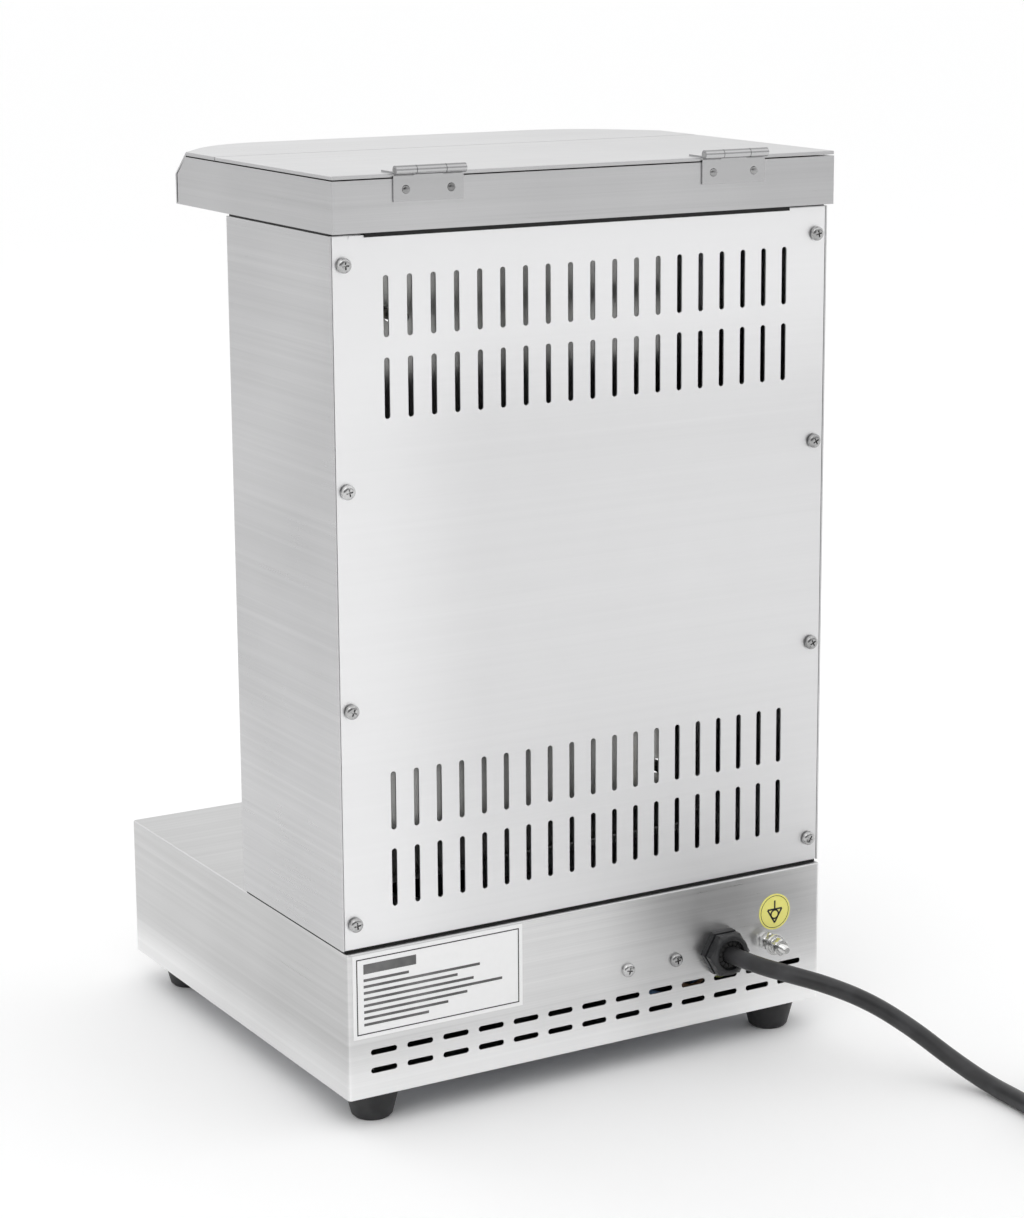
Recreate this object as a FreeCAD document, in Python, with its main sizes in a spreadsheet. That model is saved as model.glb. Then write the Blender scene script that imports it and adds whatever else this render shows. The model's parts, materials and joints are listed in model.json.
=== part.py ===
import FreeCAD, Part
import math
import os
import re
import Sketcher

# Countertop vertical rotisserie: a low base with the drive, a heater column behind the spit, and a
# shallow hood with a hinged lid. Millimetres. +Z is up, the controls face -Y, the cable leaves at +Y,
# and the origin lies on the worktop below the middle of the machine.

Vector = FreeCAD.Vector
doc = FreeCAD.newDocument("VerticalRotisserie")
sizes = doc.addObject("Spreadsheet::Sheet", "Sizes")

driving = {
    # the three sheet-metal boxes
    "base_width": 310,
    "base_depth": 290,
    "base_height": 83,
    "foot_height": 18,
    "column_width": 311,
    "column_depth": 124.4,
    "column_height": 384.3,
    "column_setback": 3.3,
    "hood_width": 312,
    "hood_height": 26.9,
    "hood_overhang": 2,
    "joint_gap": 1.3,
    "joint_inset": 1.5,
    "gauge": 1,
    "flange": 14,
    "corner_radius": 2,
    "edge_radius": 1,
    "reach": 21,
    # feet
    "foot_top_radius": 15,
    "foot_low_radius": 11.5,
    "foot_side_inset": 23,
    "foot_back_inset": 18.6,
    "foot_front_inset": 27,
    # vents
    "slot_width": 3.2,
    "vent_length": 16,
    "vent_pitch": 22.25,
    "vent_count": 13,
    "vent_low_row": 14.9,
    "vent_row_pitch": 10.5,
    "slot_length": 32.3,
    "slot_pitch": 13.9,
    "slot_count": 19,
    "slot_shift": 1.5,
    "slot_low_row": 138.9,
    "slot_high_row": 404.7,
    "slot_row_pitch": 42.9,
    # fasteners
    "screw_radius": 2,
    "screw_head_radius": 4,
    "screw_head_height": 2.6,
    "panel_screw_inset": 7.5,
    "panel_screw_low": 116.4,
    "panel_screw_pitch": 117.9,
    # spit and its drive
    "spit_forward": 55,
    "rod_radius": 5,
    "rod_square": 7,
    "socket_depth": 14,
    "hub_radius": 14,
    "hub_height": 30,
    "shaft_radius": 4,
    "lower_disc_radius": 55,
    "upper_disc_radius": 45,
    "disc_gauge": 2,
    "collar_radius": 11,
    "collar_height": 14,
    "grip_radius": 5.8,
    "disc_gap": 14,
    "pan_radius": 70,
    "pan_height": 15,
    "pan_chimney_radius": 19,
    "bush_wall": 3,
    "bush_flange": 10,
    "fit_gap": 0.06,
    "free_gap": 0.4,
    # motor
    "motor_radius": 25,
    "motor_height": 20,
    "gearbox_height": 14,
    "motor_drop": 6,
    # heating
    "cavity_depth": 56,
    "cavity_taper": 34,
    "reflector_gauge": 0.8,
    "heater_radius": 3.3,
    "heater_pitch": 34,
    "heater_half_width": 86,
    "heater_depth": 26,
    "guard_wire_radius": 1.3,
    "guard_rim_radius": 2,
    # hood
    "visor_side_depth": 178,
    "visor_front_depth": 223,
    "visor_corner_inset": 37,
    "visor_round": 70,
    "visor_slope": 9.6,
    "visor_slope_height": 10.3,
    "cheek_setback": 2.6,
    "lid_depth": 141.5,
    "lid_gap": 0.7,
    "lid_thickness": 2,
    "hem_width": 12,
    "hinge_width": 41,
    "hinge_left": 88,
    "hinge_right": 101,
    "knuckle_radius": 2.5,
    "knuckle_middle": 17,
    "pin_radius": 1.2,
    "leaf_gauge": 0.9,
    "leaf_drop": 16.2,
    "leaf_depth": 15,
    "rivet_radius": 1.4,
    "rivet_head_radius": 2.3,
    "rivet_pitch": 26.5,
    # controls
    "panel_gauge": 0.8,
    "control_height": 42,
    "knob_radius": 19,
    "knob_spacing": 85,
    "lamp_spacing": 40,
    "lamp_radius": 5.5,
    "dial_shaft_radius": 3,
    "thermostat_size": 34,
    "switch_width": 30,
    "switch_height": 22,
    "rocker_tilt": 9,
    "pivot_radius": 1.2,
    # cable entry and earth
    "gland_side": 85.8,
    "gland_height": 41.6,
    "gland_thread_radius": 10,
    "gland_flats": 24.5,
    "cord_radius": 5,
    "stud_side": 117.8,
    "stud_radius": 2.5,
    "earth_label_side": 123,
    "earth_label_rise": 58.4,
    "earth_label_radius": 10.8,
    "terminal_side": 38.5,
    "terminal_pitch": 32.3,
    "rating_label_width": 105,
    "rating_label_height": 47.5,
    "label_gauge": 0.3,
}
for row, (word, amount) in enumerate(driving.items(), start=1):
    sizes.set(f"A{row}", word.replace("_", " "))
    sizes.set(f"B{row}", str(amount))
    sizes.setAlias(f"B{row}", word)
doc.recompute()

# places worked out from the driving dimensions
levels = doc.addObject("App::FeaturePython", "Levels")
derived = {
    "base_top": "foot_height + base_height",
    "base_back": "base_depth / 2",
    "column_back": "base_depth / 2 - column_setback",
    "column_front": "base_depth / 2 - column_setback - column_depth",
    "column_top": "foot_height + base_height + column_height",
    "hood_bottom": "foot_height + base_height + column_height + joint_gap",
    "hood_top": "foot_height + base_height + column_height + joint_gap + hood_height",
    "hood_back": "base_depth / 2 + hood_overhang",
    "lid_bottom": "foot_height + base_height + column_height + joint_gap + hood_height + lid_gap",
    "lid_top": "foot_height + base_height + column_height + joint_gap + hood_height + lid_gap"
               " + lid_thickness",
    "lid_front": "base_depth / 2 + hood_overhang - lid_depth",
    "spit_y": "-spit_forward",
    "hub_top": "foot_height + base_height + hub_height",
    "disc_top": "foot_height + base_height + hub_height + disc_gap",
    "rod_top": "foot_height + base_height + column_height + joint_gap + 8",
    "hinge_y": "base_depth / 2 + hood_overhang + knuckle_radius + 0.1",
    "hinge_z": "foot_height + base_height + column_height + joint_gap + hood_height + lid_gap"
               " + lid_thickness + 1.6",
    "control_z": "foot_height + control_height",
    "front_face": "-base_depth / 2 - panel_gauge",
    "visor_side_y": "base_depth / 2 - visor_side_depth",
    "visor_front_y": "base_depth / 2 - visor_front_depth",
    "visor_corner_x": "hood_width / 2 - visor_corner_inset",
    "visor_cut": "sqrt(visor_corner_inset ^ 2 + (visor_front_depth - visor_side_depth) ^ 2)",
    "visor_turn": "(sqrt(visor_corner_inset ^ 2 + (visor_front_depth - visor_side_depth) ^ 2)"
                  " - visor_corner_inset) / (visor_front_depth - visor_side_depth)",
    "visor_flare": "sqrt(visor_corner_inset ^ 2 + (visor_front_depth - visor_side_depth) ^ 2)"
                   " * visor_slope / visor_corner_inset",
    "slope_low": "foot_height + base_height + column_height + joint_gap + hood_height"
                 " - visor_slope_height",
}
for word, formula in derived.items():
    levels.addProperty("App::PropertyFloat", word)


def sized(formula):
    """A formula in plain words, with every word pointed at its cell or its level."""

    def point(match):
        word = match.group()
        if word in driving:
            return "Sizes." + word
        return "Levels." + word if word in derived else word

    return re.sub(r"[a-z]+(_[a-z]+)*", point, str(formula))


for word, formula in derived.items():
    levels.setExpression(word, sized(formula))
doc.recompute()


def mm(word):
    """The present value of a cell or a level."""
    return float(sizes.get(word)) if word in driving else float(getattr(levels, word))


trial = doc.addObject("App::FeaturePython", "Trial")
trial.addProperty("App::PropertyFloat", "worth")


def worth(formula):
    """What a formula comes to at present."""
    trial.setExpression("worth", sized(formula))
    trial.recompute()
    return trial.worth


def bind(item, **formulas):
    """Bind properties to formulas; x, y and z stand for the placement."""
    for name, formula in formulas.items():
        path = "Placement.Base." + name if name in ("x", "y", "z") else name
        item.setExpression(path, sized(formula))
    return item


# ------------------------------------------------------------------ Part primitives

def block(x, y, z):
    """A box between two formulas along each axis."""
    item = doc.addObject("Part::Box", "Block")
    sides = {"Length": x, "Width": y, "Height": z}
    bind(item, **{side: f"({high}) - ({low})" for side, (low, high) in sides.items()})
    return bind(item, x=x[0], y=y[0], z=z[0])


def turned(item, along):
    """Turn a primitive that stands on Z so that it points along another axis."""
    turns = {"+y": (Vector(1, 0, 0), -90), "-y": (Vector(1, 0, 0), 90), "+x": (Vector(0, 1, 0), 90)}
    if along in turns:
        item.Placement = FreeCAD.Placement(Vector(), FreeCAD.Rotation(*turns[along]))
    return item


def rod(radius, length, x="0", y="0", z="0", along="+z"):
    """A cylinder whose base centre is at x, y, z."""
    item = turned(doc.addObject("Part::Cylinder", "Rod"), along)
    return bind(item, Radius=radius, Height=length, x=x, y=y, z=z)


def cone(low_radius, high_radius, length, x="0", y="0", z="0", along="+z"):
    """A truncated cone whose base centre is at x, y, z."""
    item = turned(doc.addObject("Part::Cone", "Taper"), along)
    return bind(item, Radius1=low_radius, Radius2=high_radius, Height=length, x=x, y=y, z=z)


def hexagon(flats, length, x="0", y="0", z="0", along="+z"):
    """A hexagonal bar, measured across its flats."""
    item = turned(doc.addObject("Part::Prism", "Hexagon"), along)
    item.Polygon = 6
    return bind(item, Circumradius=f"({flats}) / sqrt(3)", Height=length, x=x, y=y, z=z)


def joined(items):
    """One solid out of several that overlap or share a face."""
    item = doc.addObject("Part::MultiFuse", "Joined")
    item.Shapes = items
    return item


def trimmed(base, tools):
    """The base with every tool cut away."""
    item = doc.addObject("Part::Cut", "Trimmed")
    item.Base = base
    item.Tool = tools[0] if len(tools) == 1 else joined(tools)
    return item


def grouped(items):
    """Separate solids kept together in one sub-part."""
    item = doc.addObject("Part::Compound", "Group")
    item.Links = items
    return item


def shaped(shape):
    """A feature for a shape that neither sketches nor primitives describe."""
    item = doc.addObject("Part::Feature", "Shaped")
    item.Shape = shape
    return item


pieces = []


def piece(name, item):
    """Name a finished sub-part."""
    item.Label = name
    pieces.append(item)
    return item


# ------------------------------------------------------------------ PartDesign helpers

def new_body(name):
    item = doc.addObject("PartDesign::Body", name)
    return piece(name, item)


def draw(body, plane, offset="0"):
    """A sketch on one of the body's own origin planes, moved along that plane's normal."""
    sketch = body.newObject("Sketcher::SketchObject", "Outline")
    support = next(face for face in body.Origin.OriginFeatures if face.Role == plane + "_Plane")
    sketch.AttachmentSupport = (support, [""])
    sketch.MapMode = "FlatFace"
    sketch.setExpression("AttachmentOffset.Base.z", sized(offset))
    return sketch


def hold(sketch, kind, edge, end, place, formula):
    """Fix one coordinate of a point, counted from the sketch's origin, by a formula."""
    index = sketch.addConstraint(Sketcher.Constraint(kind, -1, 1, edge, end, place))
    sketch.setExpression(f"Constraints[{index}]", sized(formula))


def polygon(sketch, corners):
    """A closed outline of straight lines; each corner is a pair of formulas."""
    count = len(corners)
    first = sketch.GeometryCount
    turn = 2 * math.pi / count
    spots = [Vector(30 * math.cos(turn * i + 0.4), 30 * math.sin(turn * i + 0.4), 0) for i in range(count)]
    for i in range(count):
        sketch.addGeometry(Part.LineSegment(spots[i], spots[(i + 1) % count]))
    for i in range(count):
        sketch.addConstraint(Sketcher.Constraint("Coincident", first + i, 2, first + (i + 1) % count, 1))
    for i, (across, up) in enumerate(corners):
        hold(sketch, "DistanceX", first + i, 1, spots[i].x, across)
        hold(sketch, "DistanceY", first + i, 1, spots[i].y, up)
    return sketch


def rectangle(sketch, left, low, right, high):
    return polygon(sketch, [(left, low), (right, low), (right, high), (left, high)])


def circle(sketch, across, up, radius):
    edge = sketch.addGeometry(Part.Circle(Vector(5, 5, 0), Vector(0, 0, 1), 3))
    hold(sketch, "DistanceX", edge, 3, 5, across)
    hold(sketch, "DistanceY", edge, 3, 5, up)
    index = sketch.addConstraint(Sketcher.Constraint("Radius", edge, 3))
    sketch.setExpression(f"Constraints[{index}]", sized(radius))
    return sketch


def slot(sketch, across, up, length, width, upright):
    """A round-ended slot about a centre, lying down or upright."""
    way, side = (Vector(0, 1, 0), Vector(-1, 0, 0)) if upright else (Vector(1, 0, 0), Vector(0, 1, 0))
    half = f"(({length}) - ({width})) / 2"
    middle, radius = Vector(worth(across), worth(up), 0), worth(width) / 2
    far, near = middle + way * worth(half), middle - way * worth(half)
    start = math.atan2(-side.y, -side.x)
    first = sketch.addGeometry([
        Part.ArcOfCircle(Part.Circle(far, Vector(0, 0, 1), radius), start, start + math.pi),
        Part.LineSegment(far + side * radius, near + side * radius),
        Part.ArcOfCircle(Part.Circle(near, Vector(0, 0, 1), radius), start + math.pi, start + 2 * math.pi),
        Part.LineSegment(near - side * radius, far - side * radius),
    ])[0]
    for i in range(4):
        sketch.addConstraint(Sketcher.Constraint("Tangent", first + i, 2, first + (i + 1) % 4, 1))
    sketch.addConstraint(Sketcher.Constraint("Equal", first, first + 2))
    for end, centre, sign in ((first, far, "+"), (first + 2, near, "-")):
        hold(sketch, "DistanceX", end, 3, centre.x, across if upright else f"({across}) {sign} {half}")
        hold(sketch, "DistanceY", end, 3, centre.y, f"({up}) {sign} {half}" if upright else up)
    index = sketch.addConstraint(Sketcher.Constraint("Radius", first, radius))
    sketch.setExpression(f"Constraints[{index}]", sized(f"({width}) / 2"))
    return sketch


def pad(body, sketch, length):
    """Material along the sketch's normal."""
    feature = body.newObject("PartDesign::Pad", "Pad")
    feature.Profile = sketch
    feature.setExpression("Length", sized(length))
    return feature


def pocket(body, sketch, length, backwards=False):
    """A cut against the sketch's normal, or along it when backwards; it has to remove something."""
    doc.recompute()
    before = body.Shape.Volume
    feature = body.newObject("PartDesign::Pocket", "Pocket")
    feature.Profile = sketch
    feature.Reversed = backwards
    feature.setExpression("Length", sized(length))
    doc.recompute()
    if body.Shape.Volume > before - 1e-3:
        raise RuntimeError(f"a pocket in {body.Label} cuts nothing")
    return feature


def revolved(body, sketch, axis="V_Axis"):
    feature = body.newObject("PartDesign::Revolution", "Turned")
    feature.Profile = sketch
    feature.ReferenceAxis = (sketch, [axis])
    feature.Angle = 360
    return feature


def rounded(body, base, radius, wanted):
    """Round the edges of the base feature that the test picks out."""
    doc.recompute()
    names = [f"Edge{i}" for i, edge in enumerate(base.Shape.Edges, start=1) if wanted(edge)]
    feature = body.newObject("PartDesign::Fillet", "Rounded")
    feature.Base = (base, names)
    feature.setExpression("Radius", sized(radius))
    return feature


def row_of(body, feature, count, pitch):
    """Repeat a cut along its sketch's horizontal axis."""
    pattern = body.newObject("PartDesign::LinearPattern", "Row")
    pattern.Originals = [feature]
    pattern.Direction = (feature.Profile[0], ["H_Axis"])
    pattern.Mode = "Spacing"
    pattern.setExpression("Occurrences", sized(count))
    pattern.setExpression("Offset", sized(pitch))
    body.Tip = pattern
    return pattern


def ring_of(body, feature, count):
    """Repeat a cut around the body's Z axis."""
    pattern = body.newObject("PartDesign::PolarPattern", "Ring")
    pattern.Originals = [feature]
    pattern.Axis = (next(line for line in body.Origin.OriginFeatures if line.Role == "Z_Axis"), [""])
    pattern.Angle = 360
    pattern.Occurrences = count
    body.Tip = pattern
    return pattern


def upright_edge(edge):
    low, high = edge.Vertexes[0].Point, edge.Vertexes[-1].Point
    return abs(low.z - high.z) > 0.9 and (low - high).cross(Vector(0, 0, 1)).Length < 1e-3


def level_edge_at(height):
    return lambda edge: all(abs(v.Point.z - height) < 1e-3 for v in edge.Vertexes)


# ------------------------------------------------------------------ fasteners

def pan_screw(length, head_radius, head_height, radius):
    """A cross-recess pan-head screw that points along -Z, with the seat of its head at the origin."""
    profile = [Vector(0, 0, -length), Vector(radius * 0.7, 0, -length), Vector(radius, 0, -length + 1),
               Vector(radius, 0, 0), Vector(head_radius, 0, 0), Vector(head_radius, 0, head_height * 0.35)]
    edges = [Part.LineSegment(a, b).toShape() for a, b in zip(profile, profile[1:])]
    crown = Vector(head_radius * 0.72, 0, head_height * 0.85)
    edges.append(Part.Arc(profile[-1], crown, Vector(0, 0, head_height)).toShape())
    edges.append(Part.LineSegment(Vector(0, 0, head_height), profile[0]).toShape())
    screw = Part.Face(Part.Wire(edges)).revolve(Vector(), Vector(0, 0, 1), 360)
    arm, width, depth = head_radius * 0.5, head_radius * 0.2, head_height * 0.6
    for across, along in ((arm, width), (width, arm)):
        cross = Part.makeBox(2 * across, 2 * along, head_height, Vector(-across, -along, head_height - depth))
        screw = screw.cut(cross)
    return screw


def set_at(shape, spot, axis, spin=0):
    """A copy of a shape that stands on Z, placed at a spot with its +Z turned to the axis."""
    copy = shape.copy()
    turn = FreeCAD.Rotation(Vector(0, 0, 1), axis).multiply(FreeCAD.Rotation(Vector(0, 0, 1), spin))
    copy.Placement = FreeCAD.Placement(spot, turn)
    return copy


# ------------------------------------------------------------------ base

shell = new_body("base_shell")
outer = pad(shell, rectangle(draw(shell, "XY", "foot_height"), "-base_width / 2", "-base_depth / 2",
                             "base_width / 2", "base_depth / 2"), "base_height")
corners = rounded(shell, outer, "corner_radius", upright_edge)
rounded(shell, corners, "edge_radius", level_edge_at(mm("base_top")))
inside = rectangle(draw(shell, "XY", "base_top - gauge"), "-base_width / 2 + gauge", "-base_depth / 2 + gauge",
                   "base_width / 2 - gauge", "base_depth / 2 - gauge")
pocket(shell, inside, "base_height")
lip = rectangle(draw(shell, "XY", "foot_height + gauge"), "-base_width / 2 + gauge / 2",
                "-base_depth / 2 + gauge / 2", "base_width / 2 - gauge / 2", "base_depth / 2 - gauge / 2")
rectangle(lip, "-base_width / 2 + flange", "-base_depth / 2 + flange", "base_width / 2 - flange",
          "base_depth / 2 - flange")
pad(shell, lip, "gauge")
vents = draw(shell, "XZ")
for row in (0, 1):
    slot(vents, "-vent_pitch * (vent_count - 1) / 2",
         f"foot_height + vent_low_row + {row} * vent_row_pitch", "vent_length", "slot_width", False)
row_of(shell, pocket(shell, vents, "base_depth"), "vent_count", "vent_pitch")
rear = draw(shell, "XZ")
circle(rear, "-gland_side", "foot_height + gland_height", "gland_thread_radius + 0.2")
circle(rear, "-stud_side", "foot_height + gland_height", "stud_radius + 0.1")
for side in ("terminal_side - terminal_pitch / 2", "terminal_side + terminal_pitch / 2"):
    circle(rear, f"-({side})", "foot_height + gland_height", "screw_radius + 0.1")
pocket(shell, rear, "base_depth")
front = draw(shell, "XZ")
for side in ("-", ""):
    circle(front, f"{side}knob_spacing", "control_z", "dial_shaft_radius + 1.5")
    circle(front, f"{side}lamp_spacing", "control_z", "lamp_radius - 0.8")
rectangle(front, "-switch_width / 2 + 1.5", "control_z - switch_height / 2 + 1.5",
          "switch_width / 2 - 1.5", "control_z + switch_height / 2 - 1.5")
pocket(shell, front, "base_depth", backwards=True)
top = draw(shell, "XY", "base_top + 1")
circle(top, "0", "spit_y", "shaft_radius + fit_gap + bush_wall + 0.1")
rectangle(top, "-column_width / 2 + 2 * flange", "column_front + 2 * flange", "column_width / 2 - 2 * flange",
          "column_back - 2 * flange")
for side in ("-", ""):
    for place in ("column_front + flange", "column_back - flange"):
        circle(top, f"{side}(column_width / 2 - flange)", place, "screw_radius + 0.1")
pocket(shell, top, "gauge + 2")

foot_places = {}
for across, side in (("left", -1), ("right", 1)):
    foot_places["front_" + across] = (f"{side} * (base_width / 2 - foot_side_inset)",
                                      "-base_depth / 2 + foot_front_inset")
    foot_places["rear_" + across] = (f"{side} * (base_width / 2 - foot_side_inset)",
                                     "base_depth / 2 - foot_back_inset")

plate = new_body("bottom_plate")
pad(plate, rectangle(draw(plate, "XY", "foot_height"), "-base_width / 2 + gauge + free_gap",
                     "-base_depth / 2 + gauge + free_gap", "base_width / 2 - gauge - free_gap",
                     "base_depth / 2 - gauge - free_gap"), "gauge")
holes = draw(plate, "XY", "foot_height + gauge + 1")
for across, along in foot_places.values():
    circle(holes, across, along, "screw_radius + 0.1")
pocket(plate, holes, "gauge + 2")
plate_vents = draw(plate, "XY", "foot_height + gauge + 1")
for row in (0, 1, 2, 3):
    slot(plate_vents, "-vent_pitch * 4", f"{row} * vent_row_pitch", "vent_length", "slot_width", False)
row_of(plate, pocket(plate, plate_vents, "gauge + 2"), "9", "vent_pitch")

for corner, (across, along) in foot_places.items():
    foot = new_body("foot_" + corner)
    profile = polygon(draw(foot, "XZ"), [
        ("screw_radius + 0.1", "8"), ("screw_head_radius + 1", "8"), ("screw_head_radius + 1", "0"),
        ("foot_low_radius - 1.5", "0"), ("foot_low_radius", "1.5"), ("foot_top_radius", "foot_height - 3"),
        ("foot_top_radius", "foot_height"), ("screw_radius + 0.1", "foot_height")])
    revolved(foot, profile)
    bind(foot, x=across, y=along)

foot_screw = pan_screw(mm("foot_height") - 8 + 3 * mm("gauge") + 6, mm("screw_head_radius"),
                       mm("screw_head_height"), mm("screw_radius"))
doc.recompute()
screw_spots = [(body.Placement.Base, Vector(0, 0, -1)) for body in pieces if body.Label.startswith("foot_")]
piece("bottom_screws", shaped(Part.makeCompound(
    [set_at(foot_screw, spot + Vector(0, 0, 8), axis) for spot, axis in screw_spots])))

# ------------------------------------------------------------------ controls

panel = new_body("control_panel")
pad(panel, rectangle(draw(panel, "XZ", "base_depth / 2"), "-base_width / 2 + 12", "control_z - 26",
                     "base_width / 2 - 12", "control_z + 26"), "panel_gauge")
openings = draw(panel, "XZ", "base_depth / 2 + panel_gauge")
for side in ("-", ""):
    circle(openings, f"{side}knob_spacing", "control_z", "dial_shaft_radius + 1.5")
    circle(openings, f"{side}lamp_spacing", "control_z", "lamp_radius - 0.8")
rectangle(openings, "-switch_width / 2 + 1.5", "control_z - switch_height / 2 + 1.5",
          "switch_width / 2 - 1.5", "control_z + switch_height / 2 - 1.5")
pocket(panel, openings, "panel_gauge")

for across, side in (("left", -1), ("right", 1)):
    middle = f"{side} * knob_spacing"
    case = block((f"{middle} - thermostat_size / 2", f"{middle} + thermostat_size / 2"),
                 ("-base_depth / 2 + gauge", "-base_depth / 2 + gauge + 26"),
                 ("control_z - thermostat_size / 2", "control_z + thermostat_size / 2"))
    tabs = [block((f"{middle} + {offset} - 1.5", f"{middle} + {offset} + 1.5"),
                  ("-base_depth / 2 + gauge + 26", "-base_depth / 2 + gauge + 38"),
                  ("control_z - 4", "control_z + 4")) for offset in (-9, 9)]
    bore = rod("dial_shaft_radius + fit_gap", "20", middle, "-base_depth / 2 + gauge", "control_z", "+y")
    piece("thermostat_" + across, trimmed(joined([case] + tabs), [bore]))
    piece("thermostat_shaft_" + across,
          rod("dial_shaft_radius", "panel_gauge + gauge + 18 + reach / 2", middle,
              "-base_depth / 2 + gauge + 18", "control_z", "-y"))

    knob = new_body("knob_" + across)
    length = "(reach - panel_gauge - 1)"
    turned_profile = polygon(draw(knob, "XZ"), [
        ("0", "0"), ("knob_radius - 1.5", "0"), ("knob_radius", "1.5"), ("knob_radius", "3"),
        ("knob_radius - 2.5", "5"), ("knob_radius - 3.5", f"{length} - 1.5"),
        ("knob_radius - 5", length), ("0", length)])
    revolved(knob, turned_profile)
    grips = draw(knob, "XY", length + " + 1")
    circle(grips, "knob_radius + 1.2", "0", "6.5")
    grip = pocket(knob, grips, length + " - 4")
    ring_of(knob, grip, 6)
    seat = circle(draw(knob, "XY"), "0", "0", "dial_shaft_radius + 0.02")
    pocket(knob, seat, "reach / 2 + 1", backwards=True)
    knob.Placement = FreeCAD.Placement(Vector(), FreeCAD.Rotation(Vector(1, 0, 0), 90))
    bind(knob, x=middle, y="front_face - 1", z="control_z")

bezel = block(("-switch_width / 2", "switch_width / 2"), ("front_face - 2", "front_face"),
              ("control_z - switch_height / 2", "control_z + switch_height / 2"))
housing = block(("-switch_width / 2 + 2", "switch_width / 2 - 2"), ("front_face - 1", "front_face + 24"),
                ("control_z - switch_height / 2 + 2", "control_z + switch_height / 2 - 2"))
window = block(("-switch_width / 2 + 3.5", "switch_width / 2 - 3.5"), ("front_face - 3", "front_face + 9"),
               ("control_z - switch_height / 2 + 3.5", "control_z + switch_height / 2 - 3.5"))
blades = [block((f"{offset} - 3", f"{offset} + 3"), ("front_face + 24", "front_face + 33"),
                ("control_z - 0.4", "control_z + 0.4")) for offset in (-6, 6)]
pivot = rod("pivot_radius + 0.05", "switch_width - 4.6", "-switch_width / 2 + 2.3", "front_face + 1",
            "control_z", "+x")
piece("switch_housing", trimmed(joined([bezel, housing] + blades), [window, pivot]))

rocker = new_body("switch_rocker")
half = "(switch_height / 2 - 4 - free_gap)"
side_view = polygon(draw(rocker, "YZ", "-switch_width / 2 + 3.5 + free_gap"), [
    ("4.5", f"-{half} * 0.55"), ("-3.4", f"-{half}"), ("-2.6", "0"), ("-3.4", half), ("4.5", f"{half} * 0.55")])
pad(rocker, side_view, "switch_width - 7 - 2 * free_gap")
pad(rocker, circle(draw(rocker, "YZ", "-switch_width / 2 + 2.5"), "0", "0", "pivot_radius"), "switch_width - 5")
rocker.Placement = FreeCAD.Placement(Vector(), FreeCAD.Rotation(Vector(1, 0, 0), mm("rocker_tilt")))
bind(rocker, y="front_face + 1", z="control_z")

lamps = []
for side in ("-", ""):
    middle = f"{side}lamp_spacing"
    lamps.append(joined([
        cone("lamp_radius", "lamp_radius - 1.2", "3.5", middle, "front_face", "control_z", "-y"),
        rod("lamp_radius - 1", "20", middle, "front_face", "control_z", "+y")]))
piece("indicator_lamps", grouped(lamps))

# ------------------------------------------------------------------ spit drive

bush = new_body("hub_bush")
revolved(bush, polygon(draw(bush, "XZ"), [
    ("shaft_radius + fit_gap", "-6"), ("shaft_radius + fit_gap + bush_wall", "-6"),
    ("shaft_radius + fit_gap + bush_wall", "0"), ("bush_flange", "0"), ("bush_flange", "2"),
    ("shaft_radius + fit_gap", "2")]))
bind(bush, y="spit_y", z="base_top")

motor_top = "(base_top - gauge - motor_drop - 2 * gauge)"
piece("motor_gearbox", trimmed(
    joined([rod("motor_radius", "gearbox_height", "0", "spit_y", f"{motor_top} - gearbox_height"),
            block(("-motor_radius - 9", "motor_radius + 9"), ("spit_y - 6", "spit_y + 6"),
                  (f"{motor_top} - 2", motor_top))]),
    [rod("shaft_radius + fit_gap", "gearbox_height", "0", "spit_y", f"{motor_top} - gearbox_height + 3")]
    + [rod("screw_radius + 0.1", "6", f"{side}(motor_radius + 5)", "spit_y", f"{motor_top} - 4")
       for side in ("-", "")]))
piece("motor_can", rod("motor_radius - 0.5", "motor_height", "0", "spit_y",
                       f"{motor_top} - gearbox_height - motor_height"))
bracket_half = "(motor_radius + 12)"
bracket = joined([
    block((f"-{bracket_half}", bracket_half), ("spit_y - 12", "spit_y + 12"),
          (motor_top, f"{motor_top} + 2 * gauge"))]
    + [block((low, high), ("spit_y - 12", "spit_y + 12"), (motor_top, "base_top - gauge"))
       for low, high in ((f"-{bracket_half}", f"-{bracket_half} + 2 * gauge"),
                         (f"{bracket_half} - 2 * gauge", bracket_half))]
    + [block((low, high), ("spit_y - 12", "spit_y + 12"), ("base_top - 3 * gauge", "base_top - gauge"))
       for low, high in ((f"-{bracket_half} - 12", f"-{bracket_half} + gauge"),
                         (f"{bracket_half} - gauge", f"{bracket_half} + 12"))])
piece("motor_bracket", trimmed(bracket, [
    rod("shaft_radius + 1", "10", "0", "spit_y", f"{motor_top} - 3")]
    + [rod("screw_radius + 0.1", "10", f"{side}(motor_radius + 5)", "spit_y", f"{motor_top} - 3")
       for side in ("-", "")]))
motor_screw = pan_screw(7, 3.5, 2.2, mm("screw_radius"))
gear_face = mm("base_top") - 3 * mm("gauge") - mm("motor_drop")
frame_screws = [
    set_at(motor_screw, Vector(side * (mm("motor_radius") + 5), mm("spit_y"), gear_face - 2), Vector(0, 0, -1))
    for side in (-1, 1)]

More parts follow.
